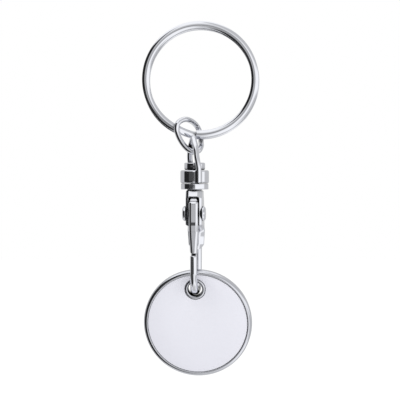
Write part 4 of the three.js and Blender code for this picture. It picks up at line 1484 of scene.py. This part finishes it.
def clasp_card(name, low, high):
    """A dark card hung close to the clasp, seen only in the metal."""
    left, right = CARD_ACROSS
    corners = [(left, low), (right, low), (right, high), (left, high)]
    points = [(x * MM, -CARD_DISTANCE * MM, z * MM) for x, z in corners]
    _, tree = seen_in_metal(name, points, [(0, 1, 2, 3)])
    dark = tree.node("ShaderNodeEmission", None, {"Color": LIGHT, "Strength": CARD_LEVEL})
    tree.node("ShaderNodeOutputMaterial", None, {"Surface": dark})


def softbox(name, azimuth, elevation, distance, level):
    """A square soft lamp that shines at the keyring."""
    a, e = math.radians(azimuth), math.radians(elevation)
    direction = np.array([math.sin(a) * math.cos(e), -math.cos(a) * math.cos(e), math.sin(e)])
    data = bpy.data.lights.new(name, "AREA")
    data.shape = "SQUARE"
    data.size = SOFTBOX_SIDE
    data.energy = level * math.pi * SOFTBOX_SIDE * SOFTBOX_SIDE
    lamp = bpy.data.objects.new(name, data)
    bpy.context.scene.collection.objects.link(lamp)
    lamp.location = direction * distance + TENT_CENTRE
    lamp.rotation_euler = (math.pi / 2 - e, 0, a)
    lamp.visible_camera = False
    lamp.visible_glossy = False


class KEYRING_OT_stage(Operator):
    """Sets up the pale floor, the white surroundings, soft light, cards and camera"""

    bl_idname = "keyring.stage"
    bl_label = "Stage"

    def execute(self, context):
        scene = context.scene
        studio = scene.keyring_studio
        self.add_floor(studio)
        self.add_surroundings(scene, studio)
        for name, place in SOFTBOXES.items():
            softbox(name, *place, studio.softbox_level)
        tent(studio.tent_radius)
        for name, heights in CARDS.items():
            clasp_card(name, *heights)
        camera = bpy.data.cameras.new("product_camera")
        camera.sensor_width = 36
        camera.lens = camera.sensor_width * studio.camera_distance / studio.frame_side
        camera.clip_start = 0.05
        camera.clip_end = 50
        eye = bpy.data.objects.new("product_camera", camera)
        scene.collection.objects.link(eye)
        eye.location = (studio.aim_x, -studio.camera_distance, studio.aim_z)
        eye.rotation_euler = (math.pi / 2, 0, 0)
        scene.camera = eye
        scene.view_settings.view_transform = "Standard"
        return {"FINISHED"}

    def add_floor(self, studio):
        """A pale floor, white to the camera but for the keyring's shadow."""
        corners = [(-1, -1), (1, -1), (1, 1), (-1, 1)]
        points = [(x * FLOOR_REACH, y * FLOOR_REACH, -studio.floor_drop) for x, y in corners]
        mesh = bpy.data.meshes.new("pale_floor")
        mesh.from_pydata(points, [], [(0, 1, 2, 3)])
        material = bpy.data.materials.new("pale_floor")
        tree = Tree(material)
        path = tree.node("ShaderNodeLightPath", output="Is Camera Ray")
        speck = tree.noise(60, 3)
        pale = tree.blend(speck, opaque(studio.floor_tint, 0.98), opaque(studio.floor_tint))
        matt = tree.node("ShaderNodeBsdfDiffuse", None, {"Color": pale})
        catcher = tree.node("ShaderNodeBsdfDiffuse", None, {"Color": opaque(LIGHT, FLOOR_SHADOW)})
        glow = tree.node("ShaderNodeEmission", None, {"Color": LIGHT, "Strength": FLOOR_GLOW})
        seen = tree.node("ShaderNodeAddShader", None, {0: glow, 1: catcher})
        mixed = tree.node("ShaderNodeMixShader", None, {0: path, 1: matt, 2: seen})
        tree.node("ShaderNodeOutputMaterial", None, {"Surface": mixed})
        mesh.materials.append(material)
        floor = bpy.data.objects.new("pale_floor", mesh)
        bpy.context.scene.collection.objects.link(floor)
        floor.visible_glossy = False

    def add_surroundings(self, scene, studio):
        """Even light from all round, white to the camera and in reflections."""
        world = bpy.data.worlds.new("white_studio")
        scene.world = world
        tree = Tree(world)
        camera_ray = tree.node("ShaderNodeLightPath", output="Is Camera Ray")
        glossy_ray = tree.node("ShaderNodeLightPath", output="Is Glossy Ray")
        clear_ray = tree.node("ShaderNodeLightPath", output="Is Transmission Ray")
        seen = camera_ray.larger(glossy_ray).larger(clear_ray)
        white = tree.node("ShaderNodeBackground", None, {"Color": LIGHT, "Strength": 1.0})
        day = {"Color": LIGHT, "Strength": studio.day_level}
        light = tree.node("ShaderNodeBackground", None, day)
        mixed = tree.node("ShaderNodeMixShader", None, {0: seen, 1: light, 2: white})
        tree.node("ShaderNodeOutputWorld", None, {"Surface": mixed})


STEPS = (
    KEYRING_OT_key_ring,
    KEYRING_OT_link,
    KEYRING_OT_eye,
    KEYRING_OT_pin,
    KEYRING_OT_hook,
    KEYRING_OT_lever,
    KEYRING_OT_rivet,
    KEYRING_OT_spring,
    KEYRING_OT_coin,
    KEYRING_OT_stage,
)


class KEYRING_PT_pieces(Panel):
    """Lists the keyring's pieces and their sizes"""

    bl_label = "Coin keyring"
    bl_idname = "KEYRING_PT_pieces"
    bl_space_type = "VIEW_3D"
    bl_region_type = "UI"
    bl_category = "Keyring"

    def draw(self, context):
        for step in STEPS:
            self.layout.operator(step.bl_idname)
        for name, group in GROUPS.items():
            box = self.layout.box()
            box.label(text=group.__doc__)
            for prop in group.__annotations__:
                box.prop(getattr(context.scene, name), prop)


CLASSES = (*GROUPS.values(), *STEPS, KEYRING_PT_pieces)


def register():
    for cls in CLASSES:
        bpy.utils.register_class(cls)
    for name, group in GROUPS.items():
        setattr(bpy.types.Scene, name, PointerProperty(type=group))


def unregister():
    for name in GROUPS:
        delattr(bpy.types.Scene, name)
    for cls in reversed(CLASSES):
        bpy.utils.unregister_class(cls)


def main():
    register()
    for step in STEPS:
        family, name = step.bl_idname.split(".")
        getattr(getattr(bpy.ops, family), name)()


if __name__ == "__main__":
    main()
